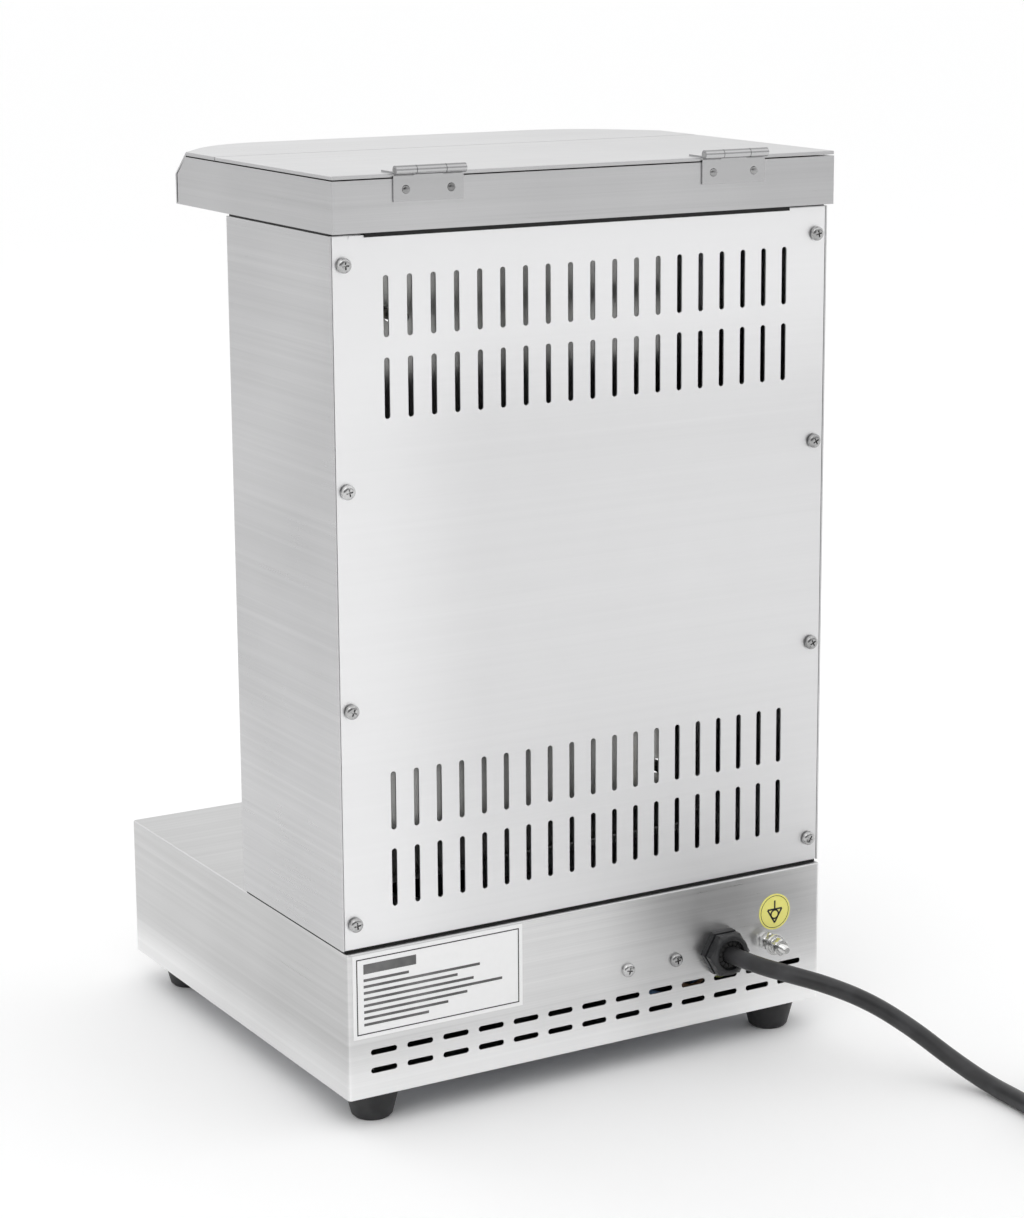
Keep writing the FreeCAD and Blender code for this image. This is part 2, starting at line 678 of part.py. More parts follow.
piece("drive_shaft", rod("shaft_radius", f"hub_height - socket_depth - 3 + base_top - {motor_top} + 10",
                         "0", "spit_y", f"{motor_top} - 10"))
hub = new_body("drive_hub")
revolved(hub, polygon(draw(hub, "XZ"), [
    ("0", "2.5"), ("hub_radius - 1", "2.5"), ("hub_radius", "3.5"), ("hub_radius", "hub_height - 4"),
    ("hub_radius - 3", "hub_height"), ("0", "hub_height")]))
half_square = "(rod_square / 2 + 0.35)"
square = rectangle(draw(hub, "XY", "hub_height"), f"-{half_square}", f"-{half_square}", half_square, half_square)
pocket(hub, square, "socket_depth")
pocket(hub, circle(draw(hub, "XY"), "0", "0", "shaft_radius + 0.02"), "hub_height - socket_depth - 3",
       backwards=True)
bind(hub, y="spit_y", z="base_top")

pan = new_body("drip_pan")
revolved(pan, polygon(draw(pan, "XZ"), [
    ("pan_chimney_radius", "0.5"), ("pan_radius - 4", "0.5"), ("pan_radius", "pan_height"),
    ("pan_radius + 2", "pan_height"), ("pan_radius + 2", "pan_height + gauge"),
    ("pan_radius - gauge", "pan_height + gauge"), ("pan_radius - 4.8", "0.5 + gauge"),
    ("pan_chimney_radius + gauge", "0.5 + gauge"), ("pan_chimney_radius - 2", "pan_height"),
    ("pan_chimney_radius - 3", "pan_height")]))
bind(pan, y="spit_y", z="base_top")

# ------------------------------------------------------------------ spit

foot_of_rod = "(hub_top - socket_depth + 0.5)"
square_half = "(rod_square / 2)"
spit = joined([
    block((f"-{square_half}", square_half), (f"spit_y - {square_half}", f"spit_y + {square_half}"),
          (foot_of_rod, "hub_top + 3")),
    rod("rod_radius", "rod_top - hub_top - 6 - 1", "0", "spit_y", "hub_top + 1"),
    cone("rod_radius", "1.5", "6", "0", "spit_y", "rod_top - 6")])
piece("skewer", spit)

disc = new_body("lower_disc")
revolved(disc, polygon(draw(disc, "XZ"), [
    ("rod_radius + 0.02", "-collar_height"), ("collar_radius - 3", "-collar_height"),
    ("collar_radius - 3", "-disc_gauge"), ("lower_disc_radius - 0.5", "-disc_gauge"),
    ("lower_disc_radius", "-disc_gauge + 0.5"), ("lower_disc_radius", "-0.5"),
    ("lower_disc_radius - 0.5", "0"), ("rod_radius + 0.02", "0")]))
drain = circle(draw(disc, "XY", "1"), "lower_disc_radius * 0.62", "0", "4")
ring_of(disc, pocket(disc, drain, "disc_gauge + 2"), 8)
bind(disc, y="spit_y", z="disc_top")

press = new_body("upper_disc")
revolved(press, polygon(draw(press, "XZ"), [
    ("rod_radius + fit_gap", "0"), ("upper_disc_radius - 0.5", "0"), ("upper_disc_radius", "0.5"),
    ("upper_disc_radius", "disc_gauge - 0.5"), ("upper_disc_radius - 0.5", "disc_gauge"),
    ("collar_radius", "disc_gauge"), ("collar_radius", "collar_height"),
    ("rod_radius + fit_gap", "collar_height")]))
tapped = circle(draw(press, "YZ"), "0", "collar_height * 0.6", "2.5 + fit_gap")
pocket(press, tapped, "collar_radius + 1", backwards=True)
press_holes = circle(draw(press, "XY", "disc_gauge + 1"), "upper_disc_radius * 0.66", "0", "4")
ring_of(press, pocket(press, press_holes, "disc_gauge + 2"), 6)
bind(press, y="spit_y", z="hood_bottom - 40")

clamp_z = "(hood_bottom - 40 + collar_height * 0.6)"
piece("clamp_screw", joined([
    rod("2.5", "14", "rod_radius + 0.3", "spit_y", clamp_z, "+x"),
    rod("grip_radius", "7", "rod_radius + 14", "spit_y", clamp_z, "+x"),
    cone("grip_radius", "grip_radius - 1", "1", "rod_radius + 21", "spit_y", clamp_z, "+x")]))

# ------------------------------------------------------------------ heater column

half_column = "(column_width / 2)"
half_core = "(column_width / 2 - joint_inset)"
skin = block((f"-{half_column}", half_column), ("column_front", "column_back"),
             ("base_top + joint_gap", "column_top"))
core = block((f"-{half_core}", half_core), ("column_front + joint_inset", "column_back - joint_inset - gauge"),
             ("base_top", "hood_bottom"))
void = block((f"-{half_column} + gauge", f"{half_column} - gauge"),
             ("column_front + gauge", "column_back - 2 * gauge"),
             ("base_top + 2 * joint_gap", "column_top - joint_gap"))
mouth = block((f"-{half_column} + flange", f"{half_column} - flange"), ("column_front - 1", "column_front + 9"),
              ("base_top + flange", "column_top - flange"))
back_window = block((f"-{half_column} + flange", f"{half_column} - flange"),
                    ("column_back - 9", "column_back + 1"), ("base_top + flange", "column_top - flange"))
rebate = block((f"-{half_column} + gauge", f"{half_column} - gauge"), ("column_back - gauge", "column_back + 1"),
               ("base_top", "hood_bottom"))
shaft_way = block((f"-{half_column} + 2 * flange", f"{half_column} - 2 * flange"),
                  ("column_front + 2 * flange", "column_back - 2 * flange"), ("base_top - 1", "hood_bottom + 1"))
column_holes = []
for side in (-1, 1):
    for place in ("column_front + flange", "column_back - flange"):
        for low in ("base_top - 1", "hood_bottom - 5"):
            column_holes.append(rod("screw_radius + 0.1", "6", f"{side} * ({half_column} - flange)", place, low))
for side in (-1, 1):
    for i in range(4):
        column_holes.append(rod("screw_radius + 0.1", "6", f"{side} * ({half_column} - panel_screw_inset)",
                                "column_back - 5", f"panel_screw_low + {i} * panel_screw_pitch", "+y"))
piece("column_shell", trimmed(joined([skin, core]),
                              [void, mouth, back_window, rebate, shaft_way] + column_holes))

back = new_body("back_panel")
pad(back, rectangle(draw(back, "XZ", "-column_back"), "-column_width / 2 + gauge + free_gap",
                    "base_top + joint_gap + 0.3", "column_width / 2 - gauge - free_gap", "column_top - 0.3"),
    "gauge")
hem = rectangle(draw(back, "XZ", "-column_back - 0.7"), "-column_width / 2 + 26", "column_top - 2",
                "column_width / 2 - 11", "column_top - 0.3")
pad(back, hem, "gauge")
openings = draw(back, "XZ")
for low in ("slot_low_row", "slot_low_row + slot_row_pitch", "slot_high_row", "slot_high_row + slot_row_pitch"):
    slot(openings, "-slot_pitch * (slot_count - 1) / 2 - slot_shift", low, "slot_length", "slot_width", True)
row_of(back, pocket(back, openings, "column_back + 2"), "slot_count", "slot_pitch")
fixings = draw(back, "XZ")
for side in (-1, 1):
    for i in range(4):
        circle(fixings, f"{side} * (column_width / 2 - panel_screw_inset)",
               f"panel_screw_low + {i} * panel_screw_pitch", "screw_radius + 0.1")
pocket(back, fixings, "column_back + 2")

rear_screw = pan_screw(8, mm("screw_head_radius"), mm("screw_head_height"), mm("screw_radius"))
rear_screws = []
for side in (-1, 1):
    for i in range(4):
        spot = Vector(side * (mm("column_width") / 2 - mm("panel_screw_inset")), mm("column_back"),
                      mm("panel_screw_low") + i * mm("panel_screw_pitch"))
        rear_screws.append(set_at(rear_screw, spot, Vector(0, 1, 0), spin=20 + 31 * i + 50 * (side + 1)))
for shift in (-0.5, 0.5):
    spot = Vector(-mm("terminal_side") + shift * mm("terminal_pitch"), mm("base_back"),
                  mm("foot_height") + mm("gland_height"))
    rear_screws.append(set_at(rear_screw, spot, Vector(0, 1, 0), spin=70 * shift))
piece("rear_screws", shaped(Part.makeCompound(rear_screws)))

zone_height = "((column_height - 2 * flange) / 2)"
mouth_half = "(column_width / 2 - flange + 3)"
for zone, low in (("lower", "base_top + flange"), ("upper", f"base_top + flange + {zone_height}")):
    low_z, high_z = f"{low} + 0.5", f"{low} + {zone_height} - 0.5"
    reflector = new_body("reflector_" + zone)
    near, deep = "column_front + gauge + 0.2", "column_front + gauge + cavity_depth"
    taper_half = "(column_width / 2 - flange - cavity_taper)"
    pad(reflector, polygon(draw(reflector, "XY", low_z), [
        (f"-{mouth_half}", near), (mouth_half, near), (taper_half, deep), (f"-{taper_half}", deep)]),
        f"{zone_height} - 1")
    pocket(reflector, polygon(draw(reflector, "XY", f"{high_z} - reflector_gauge"), [
        (f"-{mouth_half} + 1.3 * reflector_gauge", f"{near} - 1"),
        (f"{mouth_half} - 1.3 * reflector_gauge", f"{near} - 1"),
        (f"{taper_half} - 0.8 * reflector_gauge", f"{deep} - reflector_gauge"),
        (f"-{taper_half} + 0.8 * reflector_gauge", f"{deep} - reflector_gauge")]),
        f"{zone_height} - 1 - 2 * reflector_gauge")
    terminals = draw(reflector, "XZ")
    for side in ("-", ""):
        circle(terminals, f"{side}heater_half_width", f"{low} + {zone_height} / 2 + {side}1.5 * heater_pitch",
               "heater_radius + 1")
    pocket(reflector, terminals, "column_back")


def bent_bar(points, radii, bar_radius):
    """A round bar along straight runs joined by tangent arcs; the radius of each arc is given."""
    edges = []
    start = points[0]
    for before, corner, after, radius in zip(points, points[1:], points[2:], radii):
        inward, outward = (before - corner).normalize(), (after - corner).normalize()
        half_turn = (math.pi - inward.getAngle(outward)) / 2
        reach = radius * math.tan(half_turn)
        first, last = corner + inward * reach, corner + outward * reach
        middle = (inward + outward).normalize()
        crown = corner + middle * (radius / math.cos(half_turn) - radius)
        edges.append(Part.LineSegment(start, first).toShape())
        edges.append(Part.Arc(first, crown, last).toShape())
        start = last
    edges.append(Part.LineSegment(start, points[-1]).toShape())
    path = Part.Wire(edges)
    ring = Part.Wire([Part.Circle(points[0], points[1] - points[0], bar_radius).toShape()])
    bar = path.makePipeShell([ring], True, True)
    return bar, path.Length


for zone, step in (("lower", 0), ("upper", 1)):
    pitch, half_width = mm("heater_pitch"), mm("heater_half_width")
    middle_z = mm("base_top") + mm("flange") + (step + 0.5) * (mm("column_height") / 2 - mm("flange"))
    front_y = mm("column_front") + mm("heater_depth")
    rear_y = mm("column_front") + mm("cavity_depth") + 16
    heights = [middle_z + (i - 1.5) * pitch for i in range(4)]
    spots = [Vector(-half_width, rear_y, heights[0]), Vector(-half_width, front_y, heights[0])]
    for i, level in enumerate(heights[:-1]):
        end = half_width + 22 if i % 2 == 0 else -half_width - 22
        spots += [Vector(end, front_y, level), Vector(end, front_y, heights[i + 1])]
    spots += [Vector(half_width, front_y, heights[3]), Vector(half_width, rear_y, heights[3])]
    bends = [12] + [pitch / 2 - 0.01] * (len(spots) - 4) + [12]
    heater, _ = bent_bar(spots, bends, mm("heater_radius"))
    piece("heater_" + zone, shaped(heater))

combs = []
for step in (0, 1):
    middle_z = f"(base_top + flange + ({step} + 0.5) * {zone_height})"
    for across in (-50, 50):
        comb = block((f"{across} - 0.8", f"{across} + 0.8"),
                     ("column_front + heater_depth - heater_radius - 3",
                      "column_front + gauge + cavity_depth - reflector_gauge"),
                     (f"{middle_z} - 1.5 * heater_pitch - 8", f"{middle_z} + 1.5 * heater_pitch + 8"))
        combs.append(trimmed(comb, [
            rod("heater_radius + 0.15", "4", f"{across} - 2", "column_front + heater_depth",
                f"{middle_z} + {i} * heater_pitch", "+x") for i in (-1.5, -0.5, 0.5, 1.5)]))
piece("heater_supports", grouped(combs))

for zone, step in (("lower", 0), ("upper", 1)):
    low = f"(base_top + flange + {step} * {zone_height} + 5)"
    high = f"(base_top + flange + {step + 1} * {zone_height} - 5)"
    wide = "(column_width / 2 - flange - 6)"
    rim_y = "column_front + gauge + 5"
    wires = [rod("guard_rim_radius", f"2 * {wide} + 2 * guard_rim_radius", f"-{wide} - guard_rim_radius", rim_y,
                 level, "+x") for level in (low, high)]
    wires += [rod("guard_rim_radius", f"{high} - {low}", f"{side}{wide}", rim_y, low) for side in ("-", "")]
    wires += [rod("guard_wire_radius", f"{high} - {low}", f"{i} * {wide} / 5", rim_y + " - 2.3", low)
              for i in range(-4, 5)]
    wires += [rod("guard_wire_radius", f"2 * {wide}", f"-{wide}", rim_y, f"{low} + {i} * ({high} - {low}) / 5",
                  "+x") for i in range(1, 5)]
    piece("guard_" + zone, joined(wires))

# ------------------------------------------------------------------ hood

tray = new_body("hood_tray")
inner_slope = "(visor_slope - gauge - 0.1)"
inner_flare = f"(visor_flare * {inner_slope} / visor_slope)"
floor = pad(tray, polygon(draw(tray, "XY", "hood_bottom"), [
    ("-hood_width / 2", "hood_back"), ("-hood_width / 2", f"visor_side_y - {inner_flare}"),
    (f"-visor_corner_x - visor_turn * {inner_slope}", f"visor_front_y - {inner_slope}"),
    (f"visor_corner_x + visor_turn * {inner_slope}", f"visor_front_y - {inner_slope}"),
    ("hood_width / 2", f"visor_side_y - {inner_flare}"), ("hood_width / 2", "hood_back")]), "gauge")
rounded(tray, floor, f"visor_round + {inner_slope}",
        lambda edge: upright_edge(edge) and edge.Vertexes[0].Point.y < mm("visor_side_y") - mm("visor_flare"))
top_front = "visor_side_y + cheek_setback - visor_flare * (lid_top - hood_top) / (lid_top - slope_low)"
cheek_view = polygon(draw(tray, "YZ", "hood_width / 2 - gauge"), [
    ("hood_back", "hood_bottom"), ("hood_back", "hood_top"), (top_front, "hood_top"),
    ("visor_side_y - visor_flare + cheek_setback", "slope_low"),
    ("visor_side_y - visor_flare + cheek_setback", "hood_bottom")])
cheek = pad(tray, cheek_view, "gauge")
doc.recompute()
other_cheek = tray.newObject("PartDesign::Mirrored", "Mirrored")
other_cheek.Originals = [cheek]
other_cheek.MirrorPlane = (next(face for face in tray.Origin.OriginFeatures if face.Role == "YZ_Plane"), [""])
tray.Tip = other_cheek
doc.recompute()
pad(tray, rectangle(draw(tray, "XZ", "-hood_back"), "-hood_width / 2", "hood_bottom", "hood_width / 2",
                    "hood_top"), "gauge")
rim = polygon(draw(tray, "XY", "hood_top - gauge"), [
    ("-hood_width / 2", "lid_front + 10"), ("-hood_width / 2", "hood_back"), ("hood_width / 2", "hood_back"),
    ("hood_width / 2", "lid_front + 10"), ("hood_width / 2 - 7", "lid_front + 10"),
    ("hood_width / 2 - 7", "hood_back - 3.5"), ("-hood_width / 2 + 7", "hood_back - 3.5"),
    ("-hood_width / 2 + 7", "lid_front + 10")])
pad(tray, rim, "gauge")
tray_holes = draw(tray, "XY", "hood_bottom + gauge + 1")
circle(tray_holes, "0", "spit_y", "rod_radius + fit_gap + bush_wall + 0.1")
for side in ("-", ""):
    for place in ("column_front + flange", "column_back - flange"):
        circle(tray_holes, f"{side}(column_width / 2 - flange)", place, "screw_radius + 0.1")
pocket(tray, tray_holes, "gauge + 2")
rivet_holes = draw(tray, "XZ")
for centre in ("hinge_right", "-hinge_left"):
    for side in (-1, 1):
        circle(rivet_holes, f"{centre} + {side} * rivet_pitch / 2", "hinge_z - 10", "rivet_radius + 0.05")
pocket(tray, rivet_holes, "hood_back + 1")

bearing = new_body("spit_bearing")
revolved(bearing, polygon(draw(bearing, "XZ"), [
    ("rod_radius + fit_gap", "-4"), ("rod_radius + fit_gap + bush_wall", "-4"),
    ("rod_radius + fit_gap + bush_wall", "gauge"), ("rod_radius + fit_gap + bush_wall + 4", "gauge"),
    ("rod_radius + fit_gap + bush_wall + 4", "gauge + 2"), ("rod_radius + fit_gap", "gauge + 2")]))
bind(bearing, y="spit_y", z="hood_bottom")


def bow(grow, height, rear):
    """The visor in plan, moved outward by grow: a straight front, two round corners, two slanted ends."""
    half, slant, turn = mm("hood_width") / 2, mm("visor_cut"), mm("visor_turn")
    end_y = mm("visor_side_y") - grow * slant / mm("visor_corner_inset")
    corner = Vector(mm("visor_corner_x") + turn * grow, mm("visor_front_y") - grow, height)
    radius = mm("visor_round") + grow
    towards_end = (Vector(half, end_y, height) - corner).normalize()
    first = corner + towards_end * radius * turn
    last = corner + Vector(-radius * turn, 0, 0)
    inward = (towards_end + Vector(-1, 0, 0)).normalize()
    crown = corner + inward * (radius * math.sqrt(1 + turn * turn) - radius)
    right = [Vector(half, rear, height), Vector(half, end_y, height), first, crown, last]
    left = [Vector(-spot.x, spot.y, spot.z) for spot in right]
    edges = [Part.LineSegment(right[0], right[1]).toShape(), Part.LineSegment(right[1], right[2]).toShape(),
             Part.Arc(right[2], right[3], right[4]).toShape(), Part.LineSegment(right[4], left[4]).toShape(),
             Part.Arc(left[4], left[3], left[2]).toShape(), Part.LineSegment(left[2], left[1]).toShape(),
             Part.LineSegment(left[1], left[0]).toShape(), Part.LineSegment(left[0], right[0]).toShape()]
    return Part.Wire(edges)


def bow_solid(grow, top_z, low_z, rear):
    """The sloping band under the visor's top edge and the upright lip below it, as one solid."""
    reach, knee_z = grow + mm("visor_slope"), mm("slope_low")
    slope = Part.makeLoft([bow(grow, top_z, rear), bow(reach, knee_z, rear)], True, True)
    lip = Part.Face(bow(reach, low_z, rear)).extrude(Vector(0, 0, knee_z - low_z))
    return slope.fuse(lip)


def bar(x, y, z):
    """A box between two numbers along each axis."""
    return Part.makeBox(x[1] - x[0], y[1] - y[0], z[1] - z[0], Vector(x[0], y[0], z[0]))


gauge, half_hood = mm("gauge"), mm("hood_width") / 2
visor_rear = mm("lid_front") - 0.6
under_top = mm("lid_top") - gauge
visor = bow_solid(0, mm("lid_top"), mm("hood_bottom"), visor_rear)
visor = visor.cut(bow_solid(-gauge, under_top, mm("hood_bottom") - 1, visor_rear + 5))
for side in (-1, 1):
    outer_x, inner_x = sorted((side * half_hood, side * (half_hood - mm("hem_width"))))
    visor = visor.fuse(bar((outer_x, inner_x), (mm("visor_side_y") + 1, visor_rear), (mm("lid_bottom"), under_top)))
ledge_z = mm("lid_bottom") - 0.5
half_ledge = half_hood - mm("hem_width") - 1
web = bar((-half_ledge, half_ledge), (visor_rear - gauge, visor_rear), (ledge_z - gauge, under_top))
ledge = bar((-half_ledge, half_ledge), (visor_rear - gauge, visor_rear + 8), (ledge_z - gauge, ledge_z))
piece("hood_visor", shaped(visor.fuse([web, ledge]).removeSplitter()))

# ------------------------------------------------------------------ lid and hinges

lid = new_body("lid")
pad(lid, rectangle(draw(lid, "XY", "lid_top - gauge"), "-hood_width / 2", "lid_front", "hood_width / 2",
                   "hood_back - 0.3"), "gauge")
hem_ring = rectangle(draw(lid, "XY", "lid_bottom"), "-hood_width / 2", "lid_front", "hood_width / 2",
                     "hood_back - 0.3")
rectangle(hem_ring, "-hood_width / 2 + hem_width", "lid_front + hem_width", "hood_width / 2 - hem_width",
          "hood_back - hem_width")
hem_pad = pad(lid, hem_ring, "lid_thickness - gauge")
rounded(lid, hem_pad, "0.4", level_edge_at(mm("lid_top")))
lid_holes = draw(lid, "XY", "lid_top + 1")
for centre in ("hinge_right", "-hinge_left"):
    for side in (-1, 1):
        circle(lid_holes, f"{centre} + {side} * rivet_pitch / 2", "hinge_y - 9", "rivet_radius + 0.05")
pocket(lid, lid_holes, "lid_thickness + 2")

centres = ("hinge_right", "-hinge_left")
knuckle_gap = "(knuckle_radius + 0.5)"
fixed_leaves, lid_leaves, pins = [], [], []
for centre in centres:
    low_x, high_x = f"{centre} - hinge_width / 2", f"{centre} + hinge_width / 2"
    low_mid, high_mid = f"{centre} - knuckle_middle / 2", f"{centre} + knuckle_middle / 2"
    leaf_y = ("hood_back", "hood_back + leaf_gauge")
    bore = rod("pin_radius + 0.05", "hinge_width + 4", f"{low_x} - 2", "hinge_y", "hinge_z", "+x")
    fixed_holes = [rod("rivet_radius + 0.05", "4", f"{centre} + {side} * rivet_pitch / 2", "hood_back - 1",
                       "hinge_z - 10", "+y") for side in (-1, 1)]
    fixed_leaves.append(trimmed(joined([
        block((low_x, high_x), leaf_y, ("hinge_z - leaf_drop", f"hinge_z - {knuckle_gap}")),
        block((low_mid, high_mid), leaf_y, (f"hinge_z - {knuckle_gap} - 1", "hinge_z")),
        rod("knuckle_radius", "knuckle_middle", low_mid, "hinge_y", "hinge_z", "+x")]), [bore] + fixed_holes))
    bore = rod("pin_radius + 0.05", "hinge_width + 4", f"{low_x} - 2", "hinge_y", "hinge_z", "+x")
    leaf_z = ("lid_top", "lid_top + leaf_gauge")
    outer_spans = ((low_x, f"{low_mid} - 0.3"), (f"{high_mid} + 0.3", high_x))
    lid_leaf = [block((low_x, high_x), ("hinge_y - leaf_depth", f"hinge_y - {knuckle_gap}"), leaf_z)]
    for span in outer_spans:
        lid_leaf.append(block(span, (f"hinge_y - {knuckle_gap} - 1", "hinge_y"), leaf_z))
        lid_leaf.append(rod("knuckle_radius", f"({span[1]}) - ({span[0]})", span[0], "hinge_y", "hinge_z", "+x"))
    leaf_holes = [rod("rivet_radius + 0.05", "4", f"{centre} + {side} * rivet_pitch / 2", "hinge_y - 9",
                      "lid_top - 1") for side in (-1, 1)]
    lid_leaves.append(trimmed(joined(lid_leaf), [bore] + leaf_holes))
    pins.append(rod("pin_radius", "hinge_width", low_x, "hinge_y", "hinge_z", "+x"))
piece("hinge_fixed_leaves", grouped(fixed_leaves))
piece("hinge_lid_leaves", grouped(lid_leaves))
piece("hinge_pins", grouped(pins))


def rivet(grip):
    """A crowned rivet along -Z, its head above the origin and its tail below the grip."""
    head, stem = mm("rivet_head_radius"), mm("rivet_radius")
    shape = Part.makeCylinder(stem, grip + 0.4, Vector(0, 0, -grip - 0.2))
    skirt = Part.makeCone(head, head * 0.75, 0.7)
    crown = Part.makeCone(head * 0.75, head * 0.3, 0.4, Vector(0, 0, 0.7))
    tail = Part.makeCylinder(head - 0.2, 0.8, Vector(0, 0, -grip - 0.8))
    return shape.fuse([skirt, crown, tail])


leaf = mm("leaf_gauge")
fixed_rivets, lid_rivets = [], []
for centre in (mm("hinge_right"), -mm("hinge_left")):
    for side in (-1, 1):
        x = centre + side * mm("rivet_pitch") / 2
        fixed_rivets.append(set_at(rivet(leaf + gauge), Vector(x, mm("hood_back") + leaf, mm("hinge_z") - 10),
                                   Vector(0, 1, 0)))
        lid_rivets.append(set_at(rivet(leaf + mm("lid_thickness")),
                                 Vector(x, mm("hinge_y") - 9, mm("lid_top") + leaf), Vector(0, 0, 1)))
piece("hinge_rivets", shaped(Part.makeCompound(fixed_rivets)))
piece("lid_rivets", shaped(Part.makeCompound(lid_rivets)))

frame_screw = pan_screw(5, 3.5, 2.2, mm("screw_radius"))
for side in (-1, 1):
    for y in (mm("column_front") + mm("flange"), mm("column_back") - mm("flange")):
        x = side * (mm("column_width") / 2 - mm("flange"))
        frame_screws.append(set_at(frame_screw, Vector(x, y, mm("hood_bottom") + gauge), Vector(0, 0, 1)))
        frame_screws.append(set_at(frame_screw, Vector(x, y, mm("base_top") - gauge), Vector(0, 0, -1)))
piece("frame_screws", shaped(Part.makeCompound(frame_screws)))

# ------------------------------------------------------------------ cable entry, earth stud and labels

entry_z = "foot_height + gland_height"
piece("gland_body", trimmed(joined([
    rod("gland_thread_radius", "14", "-gland_side", "base_back - 14", entry_z, "+y"),
    hexagon("gland_flats", "4", "-gland_side", "base_back", entry_z, "+y"),
    rod("gland_thread_radius", "5", "-gland_side", "base_back + 4", entry_z, "+y")]),
    [rod("cord_radius + 0.4", "30", "-gland_side", "base_back - 15", entry_z, "+y")]))
piece("gland_nut", trimmed(
    hexagon("gland_flats - 0.8", "7", "-gland_side", "base_back + 4.2", entry_z, "+y"),
    [rod("gland_thread_radius + 0.1", "5", "-gland_side", "base_back + 4.1", entry_z, "+y"),
     rod("gland_thread_radius - 1.5", "8", "-gland_side", "base_back + 9", entry_z, "+y")]))
piece("gland_locknut", trimmed(
    hexagon("gland_flats", "4", "-gland_side", "base_back - gauge - 4", entry_z, "+y"),
    [rod("gland_thread_radius + 0.1", "8", "-gland_side", "base_back - 8", entry_z, "+y")]))

piece("earth_stud", joined([
    rod("stud_radius", "reach + 11", "-stud_side", "base_back - 12", entry_z, "+y"),
    cone("stud_radius", "stud_radius - 0.8", "1", "-stud_side", "base_back + reach - 1", entry_z, "+y")]))
stack = [("nut", 8, -5, 4), ("nut", 10, 0, 4), ("washer", 12.5, 8, 1.2), ("washer", 10, 9.3, 1.2),
         ("nut", 9, 10.6, 4.5)]
rings = []
for kind, across, start, thick in stack:
    place = ("-stud_side", f"base_back + {start}", entry_z, "+y")
    ring = hexagon(across, thick, *place) if kind == "nut" else rod(across / 2, thick, *place)
    rings.append(trimmed(ring, [rod("stud_radius + 0.08", thick + 2, place[0], place[1] + " - 1",
                                    entry_z, "+y")]))
piece("earth_nuts", grouped(rings))

piece("earth_label", rod("earth_label_radius", "label_gauge", "-earth_label_side", "base_back",
                         "foot_height + earth_label_rise", "+y"))
piece("rating_label", block(("base_width / 2 - 3.2 - rating_label_width", "base_width / 2 - 3.2"),
                            ("base_back", "base_back + label_gauge"),
                            ("base_top - 1.2 - rating_label_height", "base_top - 1.2")))
piece("terminal_block", trimmed(
    block(("-terminal_side - 27", "-terminal_side + 27"), ("base_back - gauge - 18", "base_back - gauge"),
          (f"{entry_z} - 8", f"{entry_z} + 8")),
    [rod("screw_radius + 0.1", "9", f"-terminal_side + {shift} * terminal_pitch", "base_back - 10",
         entry_z, "+y") for shift in (-0.5, 0.5)]))

# ------------------------------------------------------------------ mains cord

# The free stretch, from inside the gland down to the worktop and on to the coil.
cord_route = [
    (-85.8, 150, 59.6), (-87.8, 173.5, 59.8), (-97, 194.5, 58.6), (-113.5, 211, 54), (-134, 225, 44),
    (-152.5, 240, 29.5), (-167, 258, 14.2), (-175, 281.5, 5.4), (-175.5, 309, 5), (-173.2, 336.5, 5),
    (-172, 363.5, 5),
]
coil_centre = Vector(-237, 363.5, 0)


def as_large_as_fits(points):
    """The arc radius at every inner point: 0.45 of the shorter run over the tangent of half the turn."""
    radii = []
    for before, corner, after in zip(points, points[1:], points[2:]):
        turn = (corner - before).getAngle(after - corner)
        shorter = min((corner - before).Length, (after - corner).Length)
        radii.append(0.45 * shorter / math.tan(turn / 2))
    return radii


route = [Vector(*spot) for spot in cord_route]
radii = as_large_as_fits(route)
print("cord arc radii", [round(radius) for radius in radii])
cord, cord_length = bent_bar(route, radii, mm("cord_radius"))
section = math.pi * mm("cord_radius") ** 2
print(f"cord tube {cord_length:.1f} long, volume {cord.Volume:.0f}, section times length {section * cord_length:.0f}")
piece("mains_cord", shaped(cord))


def eased(turns, start, end):
    """0 before start, 1 after end, and a smooth step between them."""
    share = min(max((turns - start) / (end - start), 0), 1)
    return share * share * (3 - 2 * share)


def coil_point(turns):
    """The middle of the cord after so many turns of the coil."""
    radius = 65 - 10 * eased(turns, 0.72, 1) + 5 * eased(turns, 1.6, 1.85) - 10 * eased(turns, 2.72, 3.21)
    height = 5 + 10 * eased(turns, 1.45, 1.7) + 10 * eased(turns, 2.45, 2.7) + 6.5 * eased(turns, 2.75, 3.21)
    angle = 2 * math.pi * turns
    return coil_centre + Vector(radius * math.cos(angle), radius * math.sin(angle), height)


coil_turns = 3.21
coil_reach, coil_bore, coil_rise = 70.5, 49.5, 20.2
middle = Part.makeCylinder(coil_bore, coil_rise + 2, coil_centre - Vector(0, 0, 1))
ring = Part.makeCylinder(coil_reach, coil_rise, coil_centre).cut(middle)
tail_points = [coil_point(2.46 + (coil_turns - 2.46) * i / 9) for i in range(10)]
tail, _ = bent_bar(tail_points, as_large_as_fits(tail_points), mm("cord_radius"))
piece("cord_coil", shaped(ring.fuse(tail).cut(cord)))
steps = [coil_point(coil_turns * i / 400) for i in range(401)]
coil_length = sum((b - a).Length for a, b in zip(steps, steps[1:]))
print(f"coil {coil_length:.0f} long, whole cord {coil_length + cord_length:.0f}")

